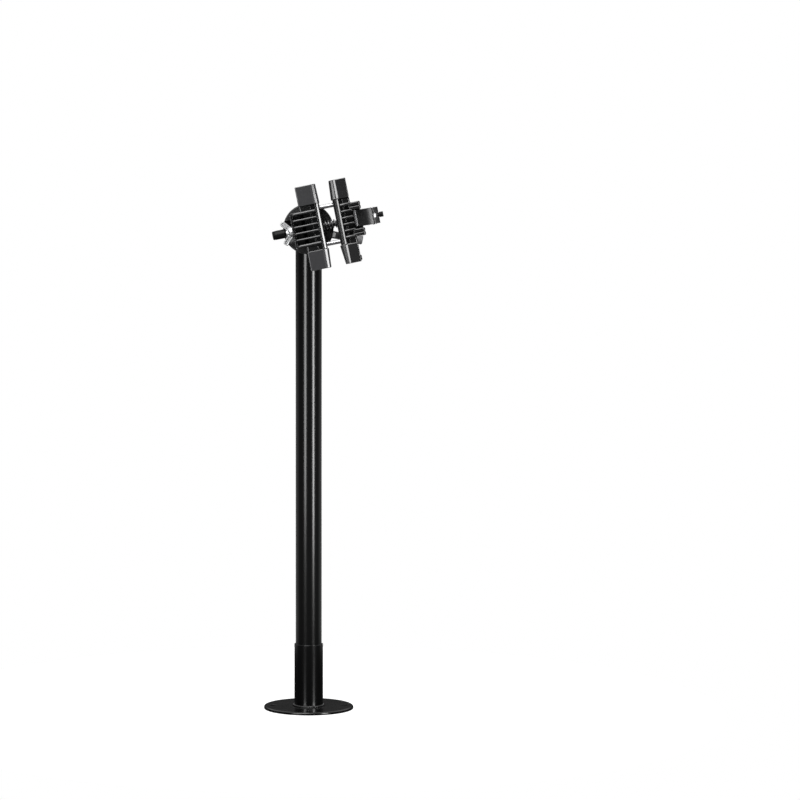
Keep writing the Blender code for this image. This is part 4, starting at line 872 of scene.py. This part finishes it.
def jaw_pad(jaw, where, sign):
    """A rubber block on one end of a jaw, whose lip leans a little out of line."""
    outline = jaw.across([
        *grip_face(jaw.pad_bevel),
        (0.6, JAW_BACK, 1.2),
        (jaw.spine, JAW_BACK, 2.2),
        (jaw.spine, JAW_FRONT, 1.4),
    ])
    middle = sign * (PAD_INNER + JAW_HALF) / 2
    half = (JAW_HALF - PAD_INNER) / 2
    shape = pillow(rounded(outline, 6), middle, half, 0.8, 4)
    inner, outer = jaw.flare[where]
    leaning_depth = 8.0
    for vert in shape.verts:
        distance = (jaw.lip - vert.co.x) * jaw.side
        along = (abs(vert.co.y) - PAD_INNER) / (JAW_HALF - PAD_INNER)
        lean = inner + (outer - inner) * along
        vert.co.x += jaw.side * lean * max(0.0, 1 - max(0.0, distance) / leaning_depth)
    if jaw is MOVING and where == "lower":
        back = jaw.u(jaw.spine)
        tab = block((back - 1.8, -57.2, 101.8), (back + 1.8, -50.2, 128.2), 0.8, 3)
        shape = together(shape, tab)
    piece(f"{jaw.name}_block_{where}", shape, jaw.rubber, jaw.body, f"{jaw.name}_pad_{where}")


def ribs(jaw, reach, outer_corner, corner):
    """Round-edged ribs that stand on the floor, lap over the strip's shoulder and bow forward."""
    low = RIB_FLOOR - 3
    step = JAW_FRONT - 6.7
    near = jaw.liner_front + 0.3
    shapes = []
    for place in RIB_PLACES:
        outer = abs(place) > 20
        half = 2.3 if outer else 1.6
        outline = rounded(jaw.across([
            (12.9, low, 0),
            (12.9, step, 0),
            (near, step, 0),
            (near, JAW_FRONT - 0.5, 0.8),
            (near + (reach - near) * 0.35, JAW_FRONT, 30),
            (reach, JAW_FRONT - 1.2, outer_corner if outer else corner),
            (reach, low, 0),
        ]), 7)
        shape = pillow(outline, 0, half, half * 0.94, 6)
        for vert in shape.verts:
            rise = (vert.co.z - low) / (JAW_FRONT - low)
            vert.co.y = place + vert.co.y * (1.06 - 0.08 * rise)
        shapes.append(shape)
    return shapes


def jaw_core(jaw):
    """The backbone behind the ribs, with two full-depth ends and the wall behind the strip."""
    front = JAW_FRONT - 5
    shoulder = GROOVE_FOOT - 0.3
    wall = 12.6
    root = 110
    half = RIBS_HALF + 1

    def section(corners, steps):
        return rounded(jaw.across([
            (0.6, JAW_BACK, 0.8), (0.6, shoulder, 0), *corners, (jaw.spine, JAW_BACK, 1.0),
        ]), steps)

    parts = []
    full = section([(wall, shoulder, 0), (wall, front, 0.8), (jaw.spine, front, 2.5)], 5)
    for sign in (1, -1):
        low, high = sorted((sign * RIBS_HALF, sign * CORE_HALF))
        parts.append(soften(extrude(full, low, high, "v"), 0.5, 2, 50))
    parts.append(extrude(section([(jaw.spine, shoulder, 0)], 4), -half, half, "v"))
    near, far = jaw.span(wall, jaw.spine)
    floor = [(near, root), (far, root), (far, RIB_FLOOR), (near, RIB_FLOOR)]
    parts.append(extrude(floor, -half, half, "v"))
    near, far = jaw.span(wall, wall + 2)
    parts.append(block((near, -half, root), (far, half, front), 0.15))
    return parts


def fixed_jaw():
    """The fixed jaw, with the thick back that the nut's washer lies in and scalloped hollows."""
    bulge = extrude(rounded([
        (-22, -BACK_HALF, 4), (-3, -BACK_HALF, 0), (-3, BACK_HALF, 0), (-22, BACK_HALF, 4),
    ], 6), JAW_BACK, RIB_FLOOR)
    seat = moved(bar(12, -60, NUT_SEAT, "u", 64), (0, 0, ROD_LEVEL))
    wall = []
    for low, high in zip(RIB_PLACES, RIB_PLACES[1:]):
        middle = (low + high) / 2
        left, right = middle - 3.4, middle + 3.4
        hollow = rounded([
            (-21.6, left, 0), (-17.2, left, 0), (-19.2, middle, 5), (-17.2, right, 0),
            (-21.6, right, 0),
        ], 6)
        wall.append(soften(extrude(hollow, RIB_FLOOR - 3, JAW_FRONT - 9), 0.3, 2, 60))
    shape = together(
        *jaw_core(FIXED), carved(bulge, seat), *wall, *ribs(FIXED, FIXED_LIP + 22.0, 7.0, 5.0))
    piece("fixed_jaw_moulding", shape, MOULDING, "head", "fixed_jaw")


def moving_jaw():
    """The moving jaw. The two arms of its fork hold the cam seat between them."""
    start = MOVING.u(MOVING.spine) - 3
    notch = 13.4
    fork = extrude([
        (start, -BACK_HALF), (ARM_END, -BACK_HALF), (ARM_END, -notch), (FORK_FACE, -notch),
        (FORK_FACE, notch), (ARM_END, notch), (ARM_END, BACK_HALF), (start, BACK_HALF),
    ], JAW_BACK + 1, RIB_FLOOR - 0.6)

    def arm_outline(end, top, corner):
        low = RIB_FLOOR - 3
        return rounded([(start, low, 0), (end, low, 0), (end, top, corner), (start, top, 0)], 5)

    arms = []
    for sign in (1, -1):
        low, high = sorted((sign * 13.7, sign * 23.9))
        outline = arm_outline(ARM_END - 0.3, JAW_FRONT - 8, 2.5)
        arms.append(soften(extrude(outline, low, high, "v"), 0.6, 2, 60))
        outline = arm_outline(ARM_END, JAW_FRONT - 1.2, 2.6)
        for centre in (sign * 15.9, sign * 21.3):
            arms.append(soften(extrude(outline, centre - 1.9, centre + 1.9, "v"), 0.9, 3, 50))
    # Painted shade: a thin black sheet across the back of the fork makes the gaps between the arms
    # and the cam seat read black, where the real jaw shows only shade.
    shade_sheet = block((start, -14.0, JAW_BACK + 0.2), (ARM_END - 1, 14.0, JAW_BACK + 0.9), 0.2)
    reach = FORK_FACE - MOVING_LIP - 0.3
    shape = together(*jaw_core(MOVING), fork, *arms, shade_sheet, *ribs(MOVING, reach, 2.0, 2.0))
    piece("moving_jaw_moulding", shape, MOULDING, "slider", "moving_jaw")


def guide_pins():
    for where, sign in ENDS:
        pin = lathe([(0, -0.5), (3, -0.5), (3, 62.0, 0.8), (0, 62.0)], "u", 64)
        moved(pin, (0, sign * 26, ROD_LEVEL))
        piece(f"guide_pin_ground_{where}", pin, STEEL, "head", f"guide_pin_{where}")


# Clamp rod and its fittings

def rod_pieces():
    """The rod with its screwed end, cap, washer, end nut and the pin that the cam turns on."""
    plain = lathe([(0, -5), (4, -5), (4, 81.4), (2.5, 81.4), (2.5, 106.7), (0, 106.7)], "u", 64)
    screw = thread(4.0, 1.25, -48.2, -4.5, "u", 0.55, 40)
    piece("clamp_rod_steel", together(plain, screw), BLACK_STEEL, "rod", "clamp_rod")
    cap = lathe([
        (0, -51.1), (6.2, -51.1, 2.0), (6.2, -48.5, 0.4), (5.8, -48.1), (6.4, -47.6, 0.3),
        (6.4, CAP_INNER, 0.5), (4.3, CAP_INNER, 0.3), (4.3, -48.5), (0, -48.5),
    ], "u", 96)
    piece("rod_cap_vinyl", cap, VINYL, "rod", "rod_end_cap")
    washer = ring(ROD_BORE, 10.5, -21.7, -19.7, 0.4, "u")
    piece("nut_washer", washer, BLACK_STEEL, "head", "rod_washer", ROD)
    nut = lathe([
        (2.8, 99.6), (3.0, 99.6), (3.0, 101.0), (3.75, 101.6, 0.2), (3.75, 107.0, 0.6),
        (2.8, 107.0),
    ], "u", 64)
    piece("end_nut", nut, BLACK_NUT, "rod", "rod_end_nut")
    end = 12.2
    pin = lathe([
        (0, -end), (3, -end, 0.7), (3, -3.2), (6.4, -3.2, 0.9), (6.4, 3.2, 0.9), (3, 3.2),
        (3, end, 0.7), (0, end),
    ], "v", 96)
    pin = carved(pin, bar(2.8, -20, 20, "u"))
    piece("cam_barrel", pin, CHROME, "rod", "cam_pin", CAM)


def ear_outline(half_width, end_gap, corner, side):
    """One ear of the wing nut in u and v, from inside its flange to its tip."""
    root = Vector((-24.4, 3.4))
    tip = Vector((-35.8, 15.7))
    run = (tip - root).normalized()
    across = Vector((-run.y, run.x)) * half_width
    outline = rounded([
        (*(root - across), 0),
        (*(tip - across - run * end_gap), corner),
        (*(tip + across - run * end_gap), corner),
        (*((root + tip) / 2 + across * 1.06), 40),
        (*(root + across), 0),
    ], 6)
    return [(u, side * v) for u, v in outline]


def wing_nut():
    """A round flange with two ears that sweep back past the cap, each with a raised rim."""
    half = 3.0
    parts = [lathe([
        (4.2, -31.5), (4.9, -31.5, 0.5), (5.2, -28.0, 1.2), (8.1, -26.6, 1.0),
        (8.1, WING_SEAT, 0.8), (4.2, WING_SEAT),
    ], "u", 96)]
    for side in (1, -1):
        parts.append(pillow(ear_outline(3.8, 0, 2.2, side), 0, half, 1.1, 4, "w"))
        for face in (1, -1):
            rim = [(u, v, face * half) for u, v in ear_outline(2.55, 1.2, 1.3, side)]
            parts.append(swept(rim, 1.25, closed=True))
    piece("wing_nut_cast", together(*parts), ZINC, "wing", "wing_nut", sharp=50)


def jaw_spring():
    """The spring between the jaws."""
    wire = 0.65
    radius = 5.65
    low, high = 14.8, 47.2
    first = low + 2 * wire
    turns = 7
    per_turn = 30
    count = turns * per_turn
    path = [(low, radius, 0)]
    for i in range(count + 1):
        turn = tau * i / per_turn
        along = first + (high - low - 4 * wire) * i / count
        path.append((along, radius * cos(turn), radius * sin(turn)))
    path.append((high, radius, 0))
    spring = piece("opening_spring", swept(path, wire), STEEL, "head", "jaw_spring", ROD, 80)
    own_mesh(spring)


# Cam lever, its seat and washer

def cam_outline():
    """In u and w: the spiral that presses the seat, the round rear and the hanging handle."""
    spiral_steps, rear_steps = 24, 16
    rate = CAM_TRAVEL / CAM_SWING
    outline = []
    for i in range(spiral_steps + 1):
        turn = CAM_SWING * i / spiral_steps
        reach = CAM_REACH - rate * turn
        outline.append((
            -reach * cos(turn) - rate * sin(turn),
            reach * sin(turn) - rate * cos(turn),
        ))
    first = pi - CAM_SWING - acos((CAM_REACH - CAM_TRAVEL) / CAM_REAR)
    for i in range(rear_steps + 1):
        turn = first - (first + radians(35)) * i / rear_steps
        outline.append((CAM_REAR * cos(turn), CAM_REAR * sin(turn)))
    handle = [
        (7.6, -14, 0), (6.2, -25, 30), (7.4, -50, 40), (9.2, -68, 20), (8.5, -74, 3.0),
        (4.5, -74, 2.6), (1.6, -60, 30), (0.4, -45, 30), (-3.6, -27, 14), (-8.6, -16, 8),
        (-9.03, -7.56, 0),
    ]
    outline += rounded([(*outline[-1], 0), *handle], 6)[1:]
    return outline


def cam_lever():
    """The lever narrows towards its tip, and its slot clears the rod's end and nut."""
    half = 11.5
    neck, length, narrowing = 17, 57, 0.34
    shape = soften(extrude(cam_outline(), -half, half, "v"), 1.1, 3, 40)
    for vert in shape.verts:
        behind = max(0.0, -vert.co.z - neck) / length
        if behind:
            vert.co.y *= 1 - narrowing * behind ** 0.7
    slot = lathe([
        (0, -3.5), (8.2, -3.5), (8.5, -4.1), (16, -4.1),
        (16, 4.1), (8.5, 4.1), (8.2, 3.5), (0, 3.5),
    ], "v", 96)
    shape = carved(shape, slot, bar(3.3, -20, 20, "v"))
    piece("cam_handle", shape, CASTING, "cam", "cam_lever")


def cam_seat():
    """The block that the cam presses on, with a hood over the cam, and the plate behind it."""
    back, front, hood = 69.6, 82.1, 91.9
    low, top = 99.2, 124.2
    crown = [(78.5 + i, top - 0.0165 * i * i, 0) for i in range(14)]
    shape = pillow(rounded([
        (back, low, 0.75), (front, low, 1.2), (front, 119.6, 1.2), (hood, 119.6, 0.75),
        (hood, 121.3, 0.75), *reversed(crown[:-1]), (back, top, 1.0),
    ], 5), 0, 11.7, 0.7, 4)
    for vert in shape.verts:
        vert.co.y += 0.9 * (hood - vert.co.x) / 22.3
    plate = pillow(rounded([
        (66.0, low, 0.5), (69.3, low, 0.5), (69.3, 123.4, 0.15), (69.15, 123.9, 0.15),
        (68.5, 124.15, 0.15), (66.0, top, 0.4),
    ]), 1.2, 11.3, 0.4, 3)
    for name, solid, look, node in (
        ("cam_seat_moulding", shape, SATIN, "cam_seat"),
        ("cam_plate", plate, PLATE_STEEL, "cam_washer"),
    ):
        bore = moved(bar(ROD_BORE, 60, 100, "u"), (0, 0, ROD_LEVEL))
        piece(name, carved(solid, bore), look, "slider", node)


base_plate()
foot_weld()
base_socket()
post()
head_mount()
hub()
lock_lever()
fixed_jaw()
moving_jaw()
for jaw in (FIXED, MOVING):
    jaw_liner(jaw)
    for where, sign in ENDS:
        jaw_pad(jaw, where, sign)
guide_pins()
rod_pieces()
wing_nut()
jaw_spring()
cam_lever()
cam_seat()


# Floor, light and camera

def seen_rays(tree):
    """Two values: 1 for the camera's rays and those through glass, and 1 for mirrored rays."""
    path = add(tree, "ShaderNodeLightPath").outputs
    straight = maths(tree, "MAXIMUM", path["Is Camera Ray"], path["Is Transmission Ray"])
    return straight, path["Is Glossy Ray"]


def ramp(tree, value, steps, smooth="LINEAR"):
    """Levels against a value from -1 to 1."""
    made = add(tree, "ShaderNodeValToRGB", {0: maths(tree, "MULTIPLY_ADD", value, 0.5, 0.5)})
    made.color_ramp.interpolation = smooth
    elements = made.color_ramp.elements
    for i, (at, level) in enumerate(steps):
        place = 0.5 + at / 2
        step = elements[i] if i < 2 else elements.new(place)
        step.position = place
        step.color = (level, level, level, 1)
    return made.outputs[0]


def blend(tree, factor, first, second):
    """A mix of two shaders."""
    return add(tree, "ShaderNodeMixShader", {0: factor, 1: first, 2: second}).outputs[0]


def stage_floor():
    """A round pale floor that keeps the stand's soft shadow. Its rim melts into the white.

    The stand itself sees it as a dim satin floor."""
    radius_m = 0.6
    below_m = 0.0003
    shape = bmesh.new()
    bmesh.ops.create_circle(shape, cap_ends=True, segments=128, radius=radius_m)
    data = mesh_of(shape, "studio_floor")
    floor = shown("studio_floor", data)
    floor.location.z = -below_m
    surface = bpy.data.materials.new("pale floor")
    surface.use_nodes = True
    tree = surface.node_tree
    tree.nodes.remove(tree.nodes["Principled BSDF"])
    straight, glossy = seen_rays(tree)
    place = add(tree, "ShaderNodeTexCoord").outputs["Object"]
    away = add(tree, "ShaderNodeVectorMath", {0: place}, operation="LENGTH").outputs["Value"]
    glow = ramp(tree, away, [(0.08, 0.76), (0.36, 1.0)], "EASE")
    glow = add(tree, "ShaderNodeEmission", {"Strength": glow}).outputs[0]
    matt = add(tree, "ShaderNodeBsdfDiffuse", {"Color": (0.5, 0.5, 0.5, 1)}).outputs[0]
    bright = add(tree, "ShaderNodeAddShader", {0: matt, 1: glow}).outputs[0]
    dim = add(tree, "ShaderNodeBsdfDiffuse", {"Color": (0.02, 0.02, 0.02, 1)}).outputs[0]
    satin = add(tree, "ShaderNodeBsdfGlossy", {"Roughness": 0.12}).outputs[0]
    shine = ramp(tree, away, [(0.06, 0.2), (0.2, 0.1), (0.5, 0.01)])
    dark = blend(tree, maths(tree, "MULTIPLY", shine, glossy), dim, satin)
    feed(tree.nodes["Material Output"], {"Surface": blend(tree, straight, dark, bright)})
    data.materials.append(surface)


def studio_world():
    """White for the camera, and for gloss up behind the stand; in front, a dim room."""
    world = bpy.data.worlds.new("studio")
    bpy.context.scene.world = world
    world.use_nodes = True
    tree = world.node_tree
    place = add(tree, "ShaderNodeTexCoord").outputs["Generated"]
    split = add(tree, "ShaderNodeSeparateXYZ", {0: place}).outputs
    y, z = split["Y"], split["Z"]
    depth = ramp(tree, y, [(-1, 0.11), (-0.4, 0.1), (0.04, 0.12), (0.32, 0.36), (1, 0.36)], "EASE")
    height = ramp(tree, z, [(-1, 1.0), (-0.02, 1.0), (0.01, 0.07), (0.22, 0.1), (0.5, 1.0)])
    room = maths(tree, "MULTIPLY", depth, height)
    far_wall = ramp(tree, y, [(0.93, 0.0), (0.99, 1.8)], "EASE")
    low = ramp(tree, z, [(-0.05, 1.0), (0.0, 0.0)], "EASE")
    room = maths(tree, "MAXIMUM", room, maths(tree, "MULTIPLY", far_wall, low))
    ends = ramp(tree, z, [(-1, 0.5), (-0.32, 0.45), (-0.2, 0.0), (0.3, 0.0), (0.6, 0.7)])
    room = maths(tree, "MAXIMUM", room, ends)
    straight, glossy = seen_rays(tree)
    behind = ramp(tree, y, [(-0.1, 0.0), (0.3, 1.0)], "EASE")
    above = ramp(tree, z, [(0.3, 0.0), (0.55, 1.0)], "EASE")
    window = maths(tree, "MULTIPLY", behind, above)
    white = maths(tree, "MAXIMUM", straight, maths(tree, "MULTIPLY", glossy, window))
    strength = add(tree, "ShaderNodeMix", {0: white, 2: room, 3: 1.0}, data_type="FLOAT")
    sky = tree.nodes["Background"]
    feed(sky, {"Color": (1, 1, 1, 1), "Strength": strength.outputs[0]})
    feed(tree.nodes["World Output"], {"Surface": sky.outputs[0]})


def softbox(name, place_m, aim_m, size_m, brightness):
    """A soft rectangle of light; brightness is that of its face."""
    lamp = bpy.data.lights.new(name, "AREA")
    lamp.shape = "RECTANGLE"
    lamp.size, lamp.size_y = size_m
    lamp.energy = brightness * pi * size_m[0] * size_m[1]
    thing = shown(name, lamp)
    thing.location = place_m
    towards = Vector(aim_m) - Vector(place_m)
    thing.rotation_euler = towards.to_track_quat("-Z", "Y").to_euler()
    thing.visible_camera = False


def round_place(bearing, height_m):
    """A place at a bearing from the viewer's direction, positive to the viewer's right."""
    distance_m = 2.0
    turn = radians(bearing)
    return (distance_m * sin(turn), -distance_m * cos(turn), height_m)


def studio_lights():
    softbox("left strip", round_place(-29.8, 0.6), (0, 0, 0.5), (0.58, 1.0), 8.0)
    softbox("right strip", round_place(42.6, 0.545), (0, 0, 0.5), (0.46, 1.05), 15.0)
    softbox("long top box", (-0.25, -1.1, 1.85), (0, -0.12, 0.72), (0.7, 2.1), 6.0)


def camera():
    """The photo's camera. Its focal length and its centre are in pixels of the frame."""
    frame_size = 800
    focal = 2590
    centre = (308.7, 398)
    aim_height_m = 0.452
    distance_m = 3.75
    lens = bpy.data.cameras.new("photo camera")
    lens.sensor_width = 36.0
    lens.lens = focal / frame_size * lens.sensor_width
    lens.shift_x = (frame_size / 2 - centre[0]) / frame_size
    lens.shift_y = (centre[1] - frame_size / 2) / frame_size
    thing = shown("photo camera", lens)
    side = radians(0.3)
    rise = radians(3.0)
    look = Vector((-sin(side) * cos(rise), cos(side) * cos(rise), -sin(rise)))
    thing.location = Vector((0, 0, aim_height_m)) - look * distance_m
    thing.rotation_euler = look.to_track_quat("-Z", "Y").to_euler()
    bpy.context.scene.camera = thing


stage_floor()
studio_world()
studio_lights()
camera()
bpy.context.scene.view_settings.view_transform = "Standard"
